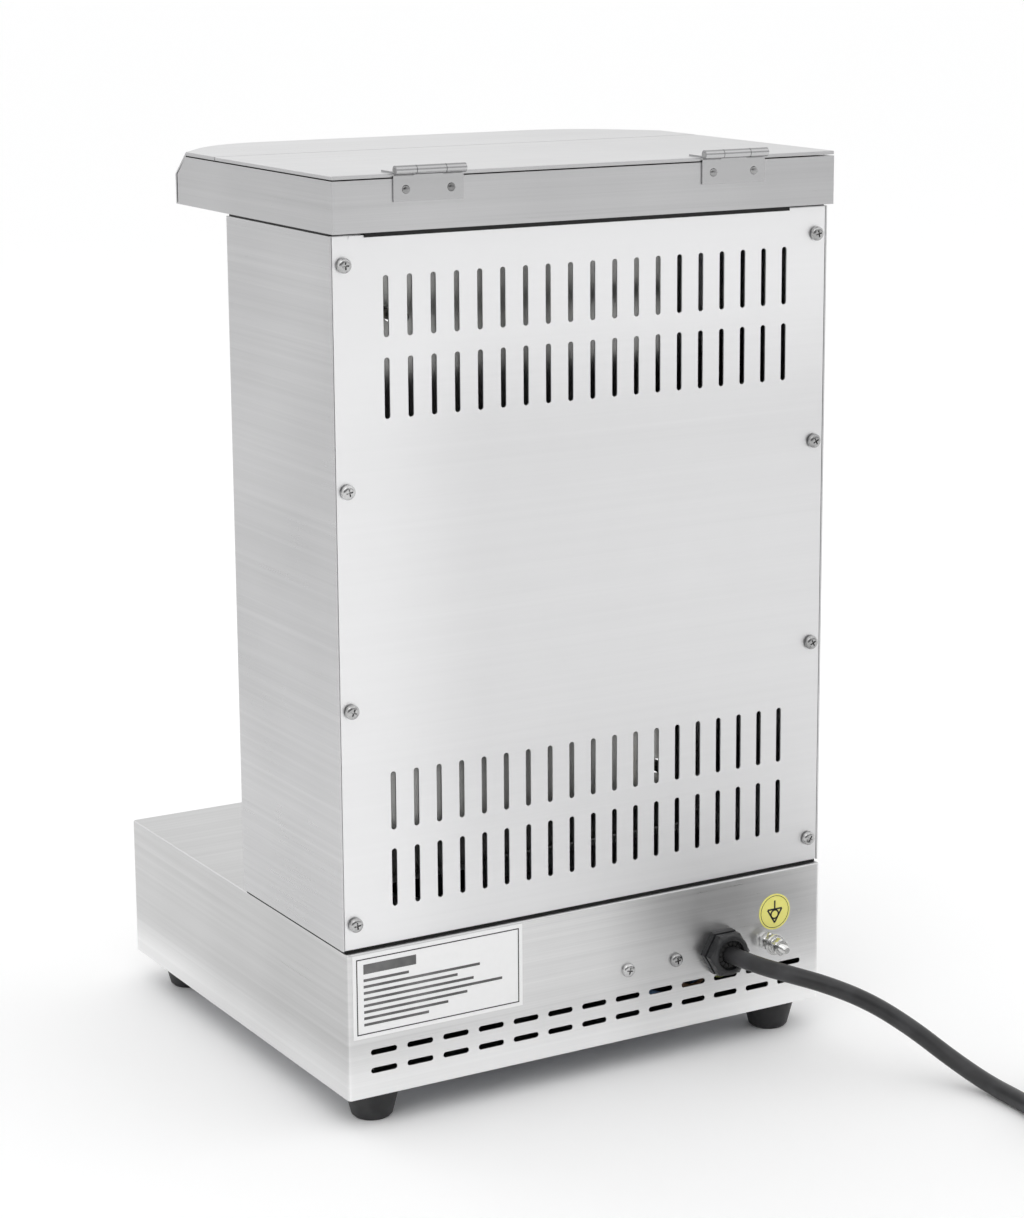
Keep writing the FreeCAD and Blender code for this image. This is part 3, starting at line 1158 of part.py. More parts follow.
plug_start = coil_point(coil_turns)
plug_way = (coil_point(coil_turns) - coil_point(coil_turns - 0.002))
plug_way.z = 0
plug_turn = FreeCAD.Placement(plug_start, FreeCAD.Rotation(Vector(1, 0, 0), plug_way))
relief = Part.makeCone(6, 8, 20, Vector(0.3, 0, 0), Vector(1, 0, 0))
grip_body = bar((20.3, 56.3), (-13, 13), (-10, 10))
grip_body = grip_body.makeFillet(4, [edge for edge in grip_body.Edges if abs(edge.tangentAt(0).x) > 0.9])
plug = relief.fuse(grip_body)
plug.Placement = plug_turn
piece("plug_body", shaped(plug))
blades = [bar((56.3, 73.3), (side * 6.35 - 0.76, side * 6.35 + 0.76), (-6.2, 0.2)) for side in (-1, 1)]
blades.append(Part.makeCylinder(2.4, 19, Vector(56.3, 0, 5.5), Vector(1, 0, 0)))
for blade in blades:
    blade.Placement = plug_turn.multiply(blade.Placement)
piece("plug_pins", shaped(Part.makeCompound(blades)))

# ------------------------------------------------------------------ check and write

doc.recompute()
for item in doc.Objects:
    if "Invalid" in item.State or "Error" in item.State:
        raise RuntimeError(f"{item.Label} failed: {item.State}")
os.makedirs("parts", exist_ok=True)
for item in pieces:
    if item.Shape.isNull() or not item.Shape.isValid():
        raise RuntimeError(f"{item.Label} has no valid shape")
    item.Shape.exportStep(f"parts/{item.Label}.step")
print(len(pieces), "sub-parts written")
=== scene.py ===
import json
import math
import random

import bmesh
import bpy
from mathutils import Matrix, Vector


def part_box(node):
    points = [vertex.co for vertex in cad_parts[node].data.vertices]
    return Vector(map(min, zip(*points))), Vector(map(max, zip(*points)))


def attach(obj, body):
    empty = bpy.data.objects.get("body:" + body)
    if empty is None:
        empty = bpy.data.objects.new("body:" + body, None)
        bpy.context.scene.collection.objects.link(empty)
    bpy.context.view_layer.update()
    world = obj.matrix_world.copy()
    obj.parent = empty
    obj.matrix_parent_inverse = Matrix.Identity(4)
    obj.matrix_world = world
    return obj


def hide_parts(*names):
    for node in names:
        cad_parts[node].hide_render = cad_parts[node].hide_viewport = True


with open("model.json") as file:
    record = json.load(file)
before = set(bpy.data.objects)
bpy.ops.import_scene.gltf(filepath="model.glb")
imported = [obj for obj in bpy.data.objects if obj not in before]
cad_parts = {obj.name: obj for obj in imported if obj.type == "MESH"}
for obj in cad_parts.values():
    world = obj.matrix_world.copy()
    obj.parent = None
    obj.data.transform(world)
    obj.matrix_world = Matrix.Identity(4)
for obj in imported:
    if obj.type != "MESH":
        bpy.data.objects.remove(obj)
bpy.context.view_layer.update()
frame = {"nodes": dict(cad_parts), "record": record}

# A countertop vertical rotisserie seen from behind.
# Metres; +Z is up, the controls face -Y and the cable leaves at +Y.
random.seed(7)


class Wire:  # one shader output that takes arithmetic
    def __init__(self, finish, socket):
        self.finish = finish
        self.socket = socket

    def math(self, operation, a, b=0.0):
        return self.finish.node("ShaderNodeMath", {"operation": operation}, {0: a, 1: b})

    def __add__(self, other):
        return self.math("ADD", self, other)

    def __radd__(self, other):
        return self.math("ADD", other, self)

    def __sub__(self, other):
        return self.math("SUBTRACT", self, other)

    def __rsub__(self, other):
        return self.math("SUBTRACT", other, self)

    def __mul__(self, other):
        return self.math("MULTIPLY", self, other)

    def __rmul__(self, other):
        return self.math("MULTIPLY", other, self)

    def __abs__(self):
        return self.math("ABSOLUTE", self)


class Finish:  # one material under construction
    def __init__(self, name, **constants):
        self.material = bpy.data.materials.new(name)
        self.material.use_nodes = True
        self.tree = self.material.node_tree
        self.shader = self.tree.nodes["Principled BSDF"]
        for socket, value in constants.items():
            self.shader.inputs[socket.replace("_", " ")].default_value = value

    def node(self, kind, settings=None, inputs=None, out=0):
        made = self.tree.nodes.new(kind)
        for key, value in (settings or {}).items():
            if key == "stops":
                ramp = made.color_ramp.elements
                while len(ramp) < len(value):
                    ramp.new(0.5)
                for element, (place, tone) in zip(ramp, value):
                    element.position, element.color = place, (*tone, 1)
            else:
                setattr(made, key, value)
        for key, value in (inputs or {}).items():
            if isinstance(value, Wire):
                self.tree.links.new(value.socket, made.inputs[key])
            else:
                made.inputs[key].default_value = value
        return Wire(self, made.outputs[out])

    def place(self):
        return self.node("ShaderNodeTexCoord", out="Object")

    def facing(self):
        return self.node("ShaderNodeTexCoord", out="Normal")

    def part(self, vector, axis):
        return self.node("ShaderNodeSeparateXYZ", None, {0: vector}, axis)

    def vector(self, x, y, z):
        return self.node("ShaderNodeCombineXYZ", None, {0: x, 1: y, 2: z})

    def noise(self, vector, scale, detail=2.0, roughness=0.5):
        return self.node("ShaderNodeTexNoise", None,
                         {"Vector": vector, "Scale": scale, "Detail": detail, "Roughness": roughness}, "Fac")

    def band(self, value, low, high):
        return self.node("ShaderNodeMapRange", {"interpolation_type": "SMOOTHSTEP"},
                         {"Value": value, "From Min": low, "From Max": high})

    def mix(self, factor, a, b):
        ends = [(*tone, 1) if isinstance(tone, tuple) else tone for tone in (a, b)]
        return self.node("ShaderNodeMix", {"data_type": "RGBA"}, {0: factor, 6: ends[0], 7: ends[1]}, 2)

    def feed(self, socket, wire):
        self.tree.links.new(wire.socket, self.shader.inputs[socket])

    def bump(self, height, strength, distance):
        self.feed("Normal", self.node("ShaderNodeBump", None,
                                      {"Height": height, "Strength": strength, "Distance": distance}))


class Sky(Finish):  # the same wiring for the world's background
    def __init__(self, world):
        world.use_nodes = True
        self.tree = world.node_tree
        self.shader = self.tree.nodes["Background"]


edgeBand = (0.6, 0.8)  # how squarely a face looks along an axis before it counts as facing it


def brushed(name, look):  # sheet steel with a running grain, hand marks and soft tone patches, plus painted reflection tones along its own axes and painted shade by face direction
    f = Finish(name, Metallic=1.0)
    spot = f.place()
    x, y, z = (f.part(spot, axis) for axis in "XYZ")
    flat = f.band(abs(f.part(f.facing(), "Z")), *edgeBand)
    across, along = look["across"], look["along"]
    lines = f.vector(x * along, y * along + flat * y * across, z * across)
    grain = f.noise(lines, 1.0, 4.0, 0.7)
    coarse = f.noise(lines, look["coarse"], 2.0)
    patches = f.noise(spot, look["patchSize"], 2.0)
    worn = f.noise(spot, look["wornSize"], 3.0, 0.6)
    share = (grain - 0.5) * look["streaks"] + (coarse - 0.5) * look["streaks"]
    share = share + (patches - 0.5) * look["patches"]
    # painted reflection: colour lifted or dropped in soft steps along the object's own axes
    for axis, low, high, lift in look.get("sheen", ()):
        share = share + f.band(f.part(spot, axis), low, high) * lift
    # painted shade and light: colour lifted or dropped on faces that look along an axis
    for axis, lift in look.get("faces", ()):
        share = share + f.band(abs(f.part(f.facing(), axis)), *edgeBand) * lift
    f.feed("Base Color", f.mix(f.band(share + 0.5, 0.0, 1.0), look["dark"], look["light"]))
    rough = look["rough"] + (grain - 0.5) * 0.12 + (worn - 0.5) * 0.05
    f.feed("Roughness", rough + (patches - 0.5) * 0.06)
    f.bump(grain, look["bump"], 0.0002)
    return f.material


def plainMetal(name, look):  # turned, cast or plated metal with fine mottling
    f = Finish(name, Metallic=1.0)
    spot = f.place()
    mottle = f.noise(spot, look["grain"], 4.0, 0.6)
    stains = f.noise(spot, 40.0, 2.0)
    tone = f.band(stains + (mottle - 0.5) * 0.4, 0.3, 0.7)
    f.feed("Base Color", f.mix(tone, look["dark"], look["light"]))
    f.feed("Roughness", look["rough"] + (mottle - 0.5) * 0.2)
    f.bump(mottle, look["bump"], 0.0002)
    return f.material


def moulded(name, look):  # plastic or rubber with a fine grained skin, paler where it is handled
    f = Finish(name, IOR=1.5)
    spot = f.place()
    skin = f.noise(spot, look["grain"], 3.0, 0.6)
    wear = f.noise(spot, 60.0, 3.0)
    f.feed("Base Color", f.mix(f.band(wear, 0.35, 0.75), look["dark"], look["light"]))
    f.feed("Roughness", look["rough"] + (skin - 0.5) * 0.15 + (wear - 0.5) * 0.1)
    f.bump(skin, look["bump"], 0.0002)
    return f.material


def filmLabel(name, look):  # printed film, slightly uneven
    f = Finish(name, IOR=1.45)
    spot = f.place()
    f.feed("Base Color", f.mix(f.noise(spot, 300.0, 3.0), look["dark"], look["light"]))
    f.feed("Roughness", 0.38 + f.noise(spot, 120.0) * 0.12)
    f.bump(f.noise(spot, 500.0), 0.05, 0.0001)
    return f.material


def grey(level):
    return (level, level, level)


sheetLook = {"across": 1500.0, "along": 9.0, "coarse": 0.22, "patchSize": 7.0, "wornSize": 55.0,
             "streaks": 0.2, "patches": 0.28, "rough": 0.3, "bump": 0.05}
metalLooks = {  # the rows along an axis are painted reflection tone: axis, where it starts, where it ends, lift; the rows by face direction are painted shade and light: axis, lift
    "bodySheet": {**sheetLook, "dark": (0.38, 0.38, 0.385), "light": (0.74, 0.74, 0.745),
                  "faces": (("X", -0.16),), "sheen": (("Z", 0.3, 0.12, 0.14),)},
    # the hood's copy of the sheet is darker, with painted shade on its side and top faces
    "hoodSheet": {**sheetLook, "dark": (0.34, 0.34, 0.345), "light": (0.68, 0.68, 0.685),
                  "faces": (("X", -0.24), ("Y", 0.02), ("Z", -0.1)),
                  "sheen": (("X", -0.15, 0.15, 0.1),)},
    # the base's copy has a wider tone range for painted reflection, brighter low down and darker on top
    "baseSheet": {**sheetLook, "streaks": 0.14, "patches": 0.2, "dark": grey(0.36), "light": grey(0.96),
                  "faces": (("X", -0.15), ("Z", -0.22), ("Y", 0.03)),
                  "sheen": (("Z", 0.05, 0.018, 0.3), ("X", 0.0, -0.045, -0.12), ("X", -0.065, -0.125, 0.16))},
    "backSheet": {**sheetLook, "streaks": 0.09, "patches": 0.1, "rough": 0.42, "bump": 0.02,
                  "dark": (0.62, 0.62, 0.625), "light": (0.92, 0.92, 0.925),
                  "sheen": (("Z", 0.36, 0.47, 0.4), ("X", 0.06, 0.155, 0.32), ("Z", 0.2, 0.11, 0.09))},
    "zincPlate": {**sheetLook, "rough": 0.4, "dark": (0.45, 0.46, 0.48), "light": (0.62, 0.63, 0.66)},
    "panSheet": {**sheetLook, "rough": 0.28, "dark": grey(0.5), "light": grey(0.68)},
    "reflectorSheet": {**sheetLook, "rough": 0.18, "dark": (0.66, 0.66, 0.64),
                       "light": (0.8, 0.8, 0.79)},
    "hingeSheet": {**sheetLook, "rough": 0.16, "dark": (0.12, 0.12, 0.125), "light": (0.5, 0.5, 0.505),
                   "faces": (("Y", 0.36), ("Z", -0.1))},
}
plainLooks = {
    "screwMetal": {"grain": 900.0, "dark": grey(0.34), "light": grey(0.64), "rough": 0.2, "bump": 0.05},
    "caseMetal": {"grain": 500.0, "dark": (0.42, 0.42, 0.41), "light": (0.58, 0.58, 0.56), "rough": 0.5,
                  "bump": 0.3},
    "shaftMetal": {"grain": 900.0, "dark": (0.42, 0.42, 0.43), "light": grey(0.58), "rough": 0.25,
                   "bump": 0.05},
    "bronze": {"grain": 1200.0, "dark": (0.42, 0.26, 0.12), "light": (0.6, 0.41, 0.2), "rough": 0.45,
               "bump": 0.2},
    "motorLacquer": {"grain": 700.0, "dark": (0.03, 0.03, 0.035), "light": (0.07, 0.07, 0.08),
                     "rough": 0.4, "bump": 0.1},
    "spitMetal": {"grain": 800.0, "dark": grey(0.5), "light": grey(0.68), "rough": 0.2, "bump": 0.05},
    "heaterSheath": {"grain": 900.0, "dark": (0.05, 0.045, 0.04), "light": (0.16, 0.14, 0.12),
                     "rough": 0.6, "bump": 0.3},
    "guardWire": {"grain": 600.0, "dark": grey(0.55), "light": grey(0.75), "rough": 0.15, "bump": 0.05},
    "rivetMetal": {"grain": 900.0, "dark": grey(0.2), "light": grey(0.4), "rough": 0.22, "bump": 0.08},
    "zincBright": {"grain": 900.0, "dark": (0.46, 0.46, 0.455), "light": (0.76, 0.76, 0.75),
                   "rough": 0.22, "bump": 0.06},
    "plugBlades": {"grain": 900.0, "dark": (0.55, 0.43, 0.22), "light": (0.78, 0.65, 0.38),
                   "rough": 0.25, "bump": 0.05},
}
mouldedLooks = {
    "footRubber": {"grain": 1500.0, "dark": (0.012, 0.012, 0.013), "light": (0.035, 0.035, 0.036),
                   "rough": 0.55, "bump": 0.25},
    "knobPlastic": {"grain": 1800.0, "dark": grey(0.012), "light": grey(0.03), "rough": 0.4,
                    "bump": 0.2},
    "switchPlastic": {"grain": 1500.0, "dark": grey(0.01), "light": grey(0.022), "rough": 0.3,
                      "bump": 0.08},
    "rockerPlastic": {"grain": 1500.0, "dark": (0.42, 0.015, 0.012), "light": (0.55, 0.03, 0.02),
                      "rough": 0.22, "bump": 0.04},
    "lampLens": {"grain": 300.0, "dark": (0.7, 0.16, 0.02), "light": (0.88, 0.28, 0.05), "rough": 0.12,
                 "bump": 0.02},
    "glandNylon": {"grain": 1400.0, "dark": (0.01, 0.01, 0.011), "light": (0.026, 0.027, 0.029),
                   "rough": 0.38, "bump": 0.12},
    # black rubber for the cable seal, also used for the dark strips of painted shade in the column joints
    "sealRubber": {"grain": 1200.0, "dark": grey(0.006), "light": grey(0.014), "rough": 0.7,
                   "bump": 0.2},
    "terminalPlastic": {"grain": 900.0, "dark": (0.66, 0.63, 0.55), "light": (0.78, 0.75, 0.68),
                        "rough": 0.5, "bump": 0.1},
    "cordRubber": {"grain": 1600.0, "dark": (0.018, 0.018, 0.019), "light": (0.04, 0.04, 0.043),
                   "rough": 0.42, "bump": 0.15},
    "plugRubber": {"grain": 1300.0, "dark": (0.014, 0.014, 0.015), "light": (0.035, 0.035, 0.038),
                   "rough": 0.48, "bump": 0.2},
    "whiteInk": {"grain": 900.0, "dark": (0.75, 0.75, 0.74), "light": (0.85, 0.85, 0.84), "rough": 0.5,
                 "bump": 0.02},
    "blackInk": {"grain": 900.0, "dark": grey(0.012), "light": grey(0.03), "rough": 0.5, "bump": 0.02},
    "greyInk": {"grain": 900.0, "dark": grey(0.1), "light": grey(0.18), "rough": 0.5, "bump": 0.02},
    "brownLead": {"grain": 900.0, "dark": (0.3, 0.17, 0.1), "light": (0.42, 0.25, 0.15), "rough": 0.4,
                  "bump": 0.05},
    "blueLead": {"grain": 900.0, "dark": (0.16, 0.3, 0.52), "light": (0.25, 0.42, 0.66), "rough": 0.4,
                 "bump": 0.05},
    "earthLead": {"grain": 900.0, "dark": (0.5, 0.58, 0.12), "light": (0.66, 0.72, 0.22), "rough": 0.4,
                  "bump": 0.05},
}
labelLooks = {
    "yellowFilm": {"dark": (0.93, 0.87, 0.20), "light": (0.98, 0.93, 0.30)},
    "whiteFilm": {"dark": grey(0.94), "light": grey(0.99)},
}
finishes = {}
for maker, looks in ((brushed, metalLooks), (plainMetal, plainLooks), (moulded, mouldedLooks),
                     (filmLabel, labelLooks)):
    for name, look in looks.items():
        finishes[name] = maker(name, look)
print("finishes made:", len(finishes))

slotFinish = {
    "stainless_sheet": "bodySheet", "back_sheet": "backSheet", "zinc_plate": "zincPlate",
    "foot_rubber": "footRubber", "screw_steel": "screwMetal", "thermostat_metal": "caseMetal",
    "shaft_steel": "shaftMetal", "knob_plastic": "knobPlastic", "switch_plastic": "switchPlastic",
    "rocker_plastic": "rockerPlastic", "lamp_lens": "lampLens", "bearing_bronze": "bronze",
    "gear_case": "caseMetal", "motor_paint": "motorLacquer", "spit_steel": "spitMetal",
    "pan_steel": "panSheet", "reflector_sheet": "reflectorSheet", "heater_sheath": "heaterSheath",
    "guard_wire": "guardWire", "hinge_steel": "hingeSheet", "rivet_steel": "rivetMetal",
    "gland_nylon": "glandNylon", "zinc_hardware": "zincBright", "earth_label": "yellowFilm",
    "rating_label": "whiteFilm", "terminal_plastic": "terminalPlastic", "cord_rubber": "cordRubber",
    "plug_rubber": "plugRubber", "plug_brass": "plugBlades",
}
# the hood and the base take darker and brighter copies of the stainless sheet, whose tones are painted shade
# and painted reflection
nodeFinish = {"hood_tray": "hoodSheet", "hood_visor": "hoodSheet", "lid": "hoodSheet",
              "base_shell": "baseSheet"}
for entry in frame["record"]["subparts"]:
    chosen = nodeFinish.get(entry["node"], slotFinish[entry["material_slot"]])
    mesh = frame["nodes"][entry["node"]].data
    if mesh.materials:
        for index in range(len(mesh.materials)):
            mesh.materials[index] = finishes[chosen]
    else:
        mesh.materials.append(finishes[chosen])


def finished(name, points, faces, finish, body, slotName, smooth=True):  # a piece that rides on a body
    mesh = bpy.data.meshes.new(name)
    mesh.from_pydata([tuple(point) for point in points], [], faces)
    mesh.validate()
    work = bmesh.new()
    work.from_mesh(mesh)
    bmesh.ops.remove_doubles(work, verts=work.verts, dist=1e-7)
    bmesh.ops.recalc_face_normals(work, faces=work.faces)
    work.to_mesh(mesh)
    work.free()
    made = bpy.data.objects.new(name, mesh)
    bpy.context.scene.collection.objects.link(made)
    mesh.materials.append(finishes[finish])
    if smooth:
        mesh.shade_smooth()
        mesh.set_sharp_from_angle(angle=math.radians(35))
    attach(made, body)
    return made


def grid(rows, closedAround=True, capFirst=False, capLast=False):  # faces over rows of equal length
    points = [spot for row in rows for spot in row]
    count = len(rows[0])
    faces = []
    for r in range(len(rows) - 1):
        for i in range(count if closedAround else count - 1):
            j = (i + 1) % count
            faces.append((r * count + i, r * count + j, (r + 1) * count + j, (r + 1) * count + i))
    if capFirst:
        faces.append(tuple(range(count))[::-1])
    if capLast:
        faces.append(tuple(range((len(rows) - 1) * count, len(rows) * count)))
    return points, faces


def turnedRows(profile, count, reach=None):  # rings about +Z; reach limits the radius by angle
    rows = []
    for radius, height in profile:
        ring = []
        for i in range(count):
            angle = 2 * math.pi * i / count
            r = min(radius, reach(angle)) if reach else radius
            ring.append(Vector((r * math.cos(angle), r * math.sin(angle), height)))
        rows.append(ring)
    return rows


def standing(axis, at, spin=0.0):  # a placement that turns +Z to an axis
    turn = Vector(axis).to_track_quat("Z", "Y").to_matrix().to_4x4()
    return Matrix.Translation(at) @ turn @ Matrix.Rotation(spin, 4, "Z")


def gathered(shapes):  # several point and face lists as one
    points, faces = [], []
    for morePoints, moreFaces in shapes:
        shift = len(points)
        points += morePoints
        faces += [tuple(i + shift for i in face) for face in moreFaces]
    return points, faces


def moved(shape, matrix):
    return [matrix @ Vector(point) for point in shape[0]], shape[1]


def hexReach(flats):  # how far a hexagon reaches at each angle
    return lambda angle: flats / 2 / math.cos((angle + math.pi / 6) % (math.pi / 3) - math.pi / 6)


def slab(low, high):  # a plain thin plate between two corners
    x, y, z = zip(low, high)
    points = [Vector((x[i & 1], y[i >> 1 & 1], z[i >> 2])) for i in range(8)]
    return points, [(0, 2, 3, 1), (4, 5, 7, 6), (0, 1, 5, 4), (2, 6, 7, 3), (0, 4, 6, 2), (1, 3, 7, 5)]


cameraLook = {"at": (0.8469, 1.5345, 0.652), "towards": (-0.5127, -0.8321, -0.2115), "lens": 90.0,
              "shift": (-0.079, -0.040), "sight": 200}
camera = bpy.data.objects.new("viewCamera", bpy.data.cameras.new("viewCamera"))
bpy.context.scene.collection.objects.link(camera)
camera.location = cameraLook["at"]
camera.rotation_euler = Vector(cameraLook["towards"]).to_track_quat("-Z", "Y").to_euler()
camera.data.lens = cameraLook["lens"]
camera.data.shift_x, camera.data.shift_y = cameraLook["shift"]
camera.data.clip_end = cameraLook["sight"]
bpy.context.scene.camera = camera

lightLook = {"skyLight": grey(1.12), "skyDark": (0.16, 0.16, 0.165), "floorTone": grey(0.96),
             "floorHalf": 60, "floorRough": 0.8,
             "lamps": [("key", (1.2, 1.6, 2.2), (0, 0, 0.25), 1.6, 6.0),  # at, target, width, power
                       ("rear", (-1.4, 2.2, 1.4), (0, 0, 0.3), 1.8, 5.0),
                       ("front", (0.8, -2.2, 1.8), (0, 0, 0.3), 1.6, 5.0)]}
world = bpy.data.worlds.new("softRoom")
bpy.context.scene.world = world
sky = Sky(world)  # a pale room; its light and reflections have a dark curtain low beyond the machine's rear
direction = sky.node("ShaderNodeTexCoord", out="Generated")
curtain = sky.band(sky.part(direction, "Y"), 0.30, 0.75) * sky.band(sky.part(direction, "Z"), 0.75, 0.35)
unseen = 1 - sky.node("ShaderNodeLightPath", out="Is Camera Ray")
sky.feed("Color", sky.mix(curtain * unseen, lightLook["skyLight"], lightLook["skyDark"]))
for name, at, target, width, power in lightLook["lamps"]:
    lamp = bpy.data.objects.new(name, bpy.data.lights.new(name, "AREA"))
    bpy.context.scene.collection.objects.link(lamp)
    lamp.location = at
    lamp.rotation_euler = (Vector(target) - Vector(at)).to_track_quat("-Z", "Y").to_euler()
    lamp.data.size = width
    lamp.data.energy = power
bpy.context.scene.view_settings.view_transform = "Standard"

floorMesh = bpy.data.meshes.new("floor")
far = lightLook["floorHalf"]
floorMesh.from_pydata([(-far, -far, 0), (far, -far, 0), (far, far, 0), (-far, far, 0)], [], [(0, 1, 2, 3)])
floor = bpy.data.objects.new("floor", floorMesh)
bpy.context.scene.collection.objects.link(floor)
floorFinish = Finish("paleFloor", Roughness=lightLook["floorRough"])
floorFinish.shader.inputs["Base Color"].default_value = (*lightLook["floorTone"], 1)
floorMesh.materials.append(floorFinish.material)
print("camera, light and floor set")


cordLook = {"diameter": 0.010, "length": 1.45, "coilTurns": 3.21, "pointsPerTurn": 16,
            "coilCentre": Vector((-0.237, 0.3635, 0)), "coilRadius": 65, "coilLevel": 5,
            "coilSpread": ((0.72, 1, -10), (1.6, 1.85, 5), (2.72, 3.21, -10)),  # from turn, to turn, mm
            "coilRise": ((1.45, 1.7, 10), (2.45, 2.7, 10), (2.75, 3.21, 6.5))}
cordRoute = [
    (-0.0858, 0.150, 0.0596), (-0.0878, 0.1735, 0.0598), (-0.097, 0.1945, 0.0586), (-0.1135, 0.211, 0.054),
    (-0.134, 0.225, 0.044), (-0.1525, 0.240, 0.0295), (-0.167, 0.258, 0.0142), (-0.175, 0.2815, 0.0054),
    (-0.1755, 0.309, 0.005), (-0.1732, 0.3365, 0.005),
]


def eased(turns, start, end):  # 0 before start, 1 after end, smooth between
    share = min(max((turns - start) / (end - start), 0), 1)
    return share * share * (3 - 2 * share)


def coilPoint(turns):  # where the coil is after so many turns
    radius, height = cordLook["coilRadius"], cordLook["coilLevel"]
    for start, end, step in cordLook["coilSpread"]:
        radius += step * eased(turns, start, end)
    for start, end, step in cordLook["coilRise"]:
        height += step * eased(turns, start, end)
    angle = 2 * math.pi * turns
    spot = Vector((radius * math.cos(angle), radius * math.sin(angle), height)) / 1000
    return cordLook["coilCentre"] + spot


coilSteps = round(cordLook["coilTurns"] * cordLook["pointsPerTurn"])
cordPoints = [Vector(spot) for spot in cordRoute]
cordPoints += [coilPoint(cordLook["coilTurns"] * i / coilSteps) for i in range(coilSteps + 1)]
cordCurve = bpy.data.curves.new("mainsCord", "CURVE")
cordCurve.dimensions = "3D"
cordLine = cordCurve.splines.new("NURBS")
cordLine.points.add(len(cordPoints) - 1)
for point, spot in zip(cordLine.points, cordPoints):
    point.co = (*spot, 1)
cordLine.order_u = 3
cordLine.use_endpoint_u = True
cordCurve.resolution_u = 8
cordCurve.bevel_depth = cordLook["diameter"] / 2
cordCurve.bevel_resolution = 8
cordCurve.use_fill_caps = True
cordCurve.materials.append(finishes["cordRubber"])
cord = bpy.data.objects.new("mainsCord", cordCurve)
bpy.context.scene.collection.objects.link(cord)
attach(cord, "housing")
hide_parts("mains_cord", "cord_coil")

plugLook = {"ribs": 6, "firstRib": 0.0004, "ribPitch": 0.0032, "ribRadius": 0.0058, "ribGrowth": 0.0003,
            "half": (0.013, 0.010), "ring": ((0.0, 0.9), (0.1, 1.0), (0.6, 1.0), (0.7, 0.9)),
            "grip": ((0.0195, 0.60, 2.2), (0.021, 0.74, 2.6), (0.024, 0.88, 3.2), (0.030, 0.97, 4.0),
                     (0.040, 0.90, 4.0), (0.048, 0.98, 4.5), (0.0535, 1.0, 4.5), (0.0553, 0.97, 4.2),
                     (0.0563, 0.90, 4.0))}  # grip rows are place along, size, squareness
plugStart = coilPoint(cordLook["coilTurns"])
plugWay = plugStart - coilPoint(cordLook["coilTurns"] - 0.002)
plugWay.z = 0
plugTurn = Vector((1, 0, 0)).rotation_difference(plugWay).to_matrix().to_4x4()
plugPlace = Matrix.Translation(plugStart) @ plugTurn


def roundedRing(halfWidth, halfHeight, power, along, count=40):  # from an ellipse at 2 to a soft box at 4
    ring = []
    for i in range(count):
        c, s = math.cos(2 * math.pi * i / count), math.sin(2 * math.pi * i / count)
        ring.append(Vector((along, math.copysign(abs(c) ** (2 / power), c) * halfWidth,
                            math.copysign(abs(s) ** (2 / power), s) * halfHeight)))
    return ring


plugRows = []
for rib in range(plugLook["ribs"]):
    start = plugLook["firstRib"] + rib * plugLook["ribPitch"]
    swell = plugLook["ribRadius"] + plugLook["ribGrowth"] * rib
    for share, shrink in plugLook["ring"]:
        along = start + share * plugLook["ribPitch"]
        plugRows.append(roundedRing(swell * shrink, swell * shrink, 2, along))
wide, high = plugLook["half"]
for along, size, power in plugLook["grip"]:
    plugRows.append(roundedRing(wide * size, high * size, power, along))
plugShape = moved(grid(plugRows, capFirst=True, capLast=True), plugPlace)
plug = finished("plugGrip", *plugShape, "plugRubber", "housing", "plug_rubber")
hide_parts("plug_body")
print("cord laid")


screwLook = {"headRadius": 0.004, "headHeight": 0.0026, "shankRadius": 0.002, "shankLength": 0.008,
             "crown": 0.45, "rim": 0.35, "recessWidth": 0.0009, "recessReach": 0.0023,
             "recessDepth": 0.0016, "recessTaper": (0.5, 0.8), "clearance": 0.0005}


def panHead(look):  # a low domed head with a cross recess, seat at the origin, pointing along +Z
    radius, height = look["headRadius"], look["headHeight"]
    crown, rim = look["crown"], look["rim"]
    profile = [(look["shankRadius"], -look["shankLength"]), (look["shankRadius"], 0), (radius, 0),
               (radius, height * rim)]
    for step in range(1, 8):
        angle = step / 8 * math.pi / 2
        profile.append((radius * (crown + (1 - crown) * math.cos(angle)),
                        height * (rim + (1 - rim) * math.sin(angle))))
    profile.append((radius * crown, height))
    points, faces = grid(turnedRows(profile, 48), capFirst=True, capLast=True)
    head = bpy.data.meshes.new("panHead")
    head.from_pydata([tuple(point) for point in points], [], faces)
    half, reach = look["recessWidth"] / 2, look["recessReach"]
    shortBy, thinBy = look["recessTaper"]
    corners = ((-1, -1), (1, -1), (1, 1), (-1, 1))
    low = [Vector((x * reach * shortBy, y * half * thinBy, height - look["recessDepth"])) for x, y in corners]
    high = [Vector((x * reach, y * half, height + look["clearance"])) for x, y in corners]
    slot = grid([low, high], capFirst=True, capLast=True)
    return carved(head, [moved(slot, Matrix.Rotation(turn * math.pi / 2, 4, "Z")) for turn in (0, 1)])


def carved(mesh, tools):  # the mesh with each closed tool cut out of it, as points and faces
    block = bpy.data.objects.new("carving", mesh)
    bpy.context.scene.collection.objects.link(block)
    helpers = []
    for toolPoints, toolFaces in tools:
        cutter = bpy.data.meshes.new("cutter")
        cutter.from_pydata([tuple(point) for point in toolPoints], [], toolFaces)
        helper = bpy.data.objects.new("cutter", cutter)
        bpy.context.scene.collection.objects.link(helper)
        helpers.append(helper)
        cut = block.modifiers.new("cut", "BOOLEAN")
        cut.object, cut.operation, cut.solver = helper, "DIFFERENCE", "EXACT"
    bpy.context.view_layer.update()
    result = block.evaluated_get(bpy.context.evaluated_depsgraph_get()).to_mesh()
    points = [vertex.co.copy() for vertex in result.vertices]
    faces = [tuple(face.vertices) for face in result.polygons]
    block.evaluated_get(bpy.context.evaluated_depsgraph_get()).to_mesh_clear()
    for helper in (block, *helpers):
        bpy.data.objects.remove(helper)
    return points, faces


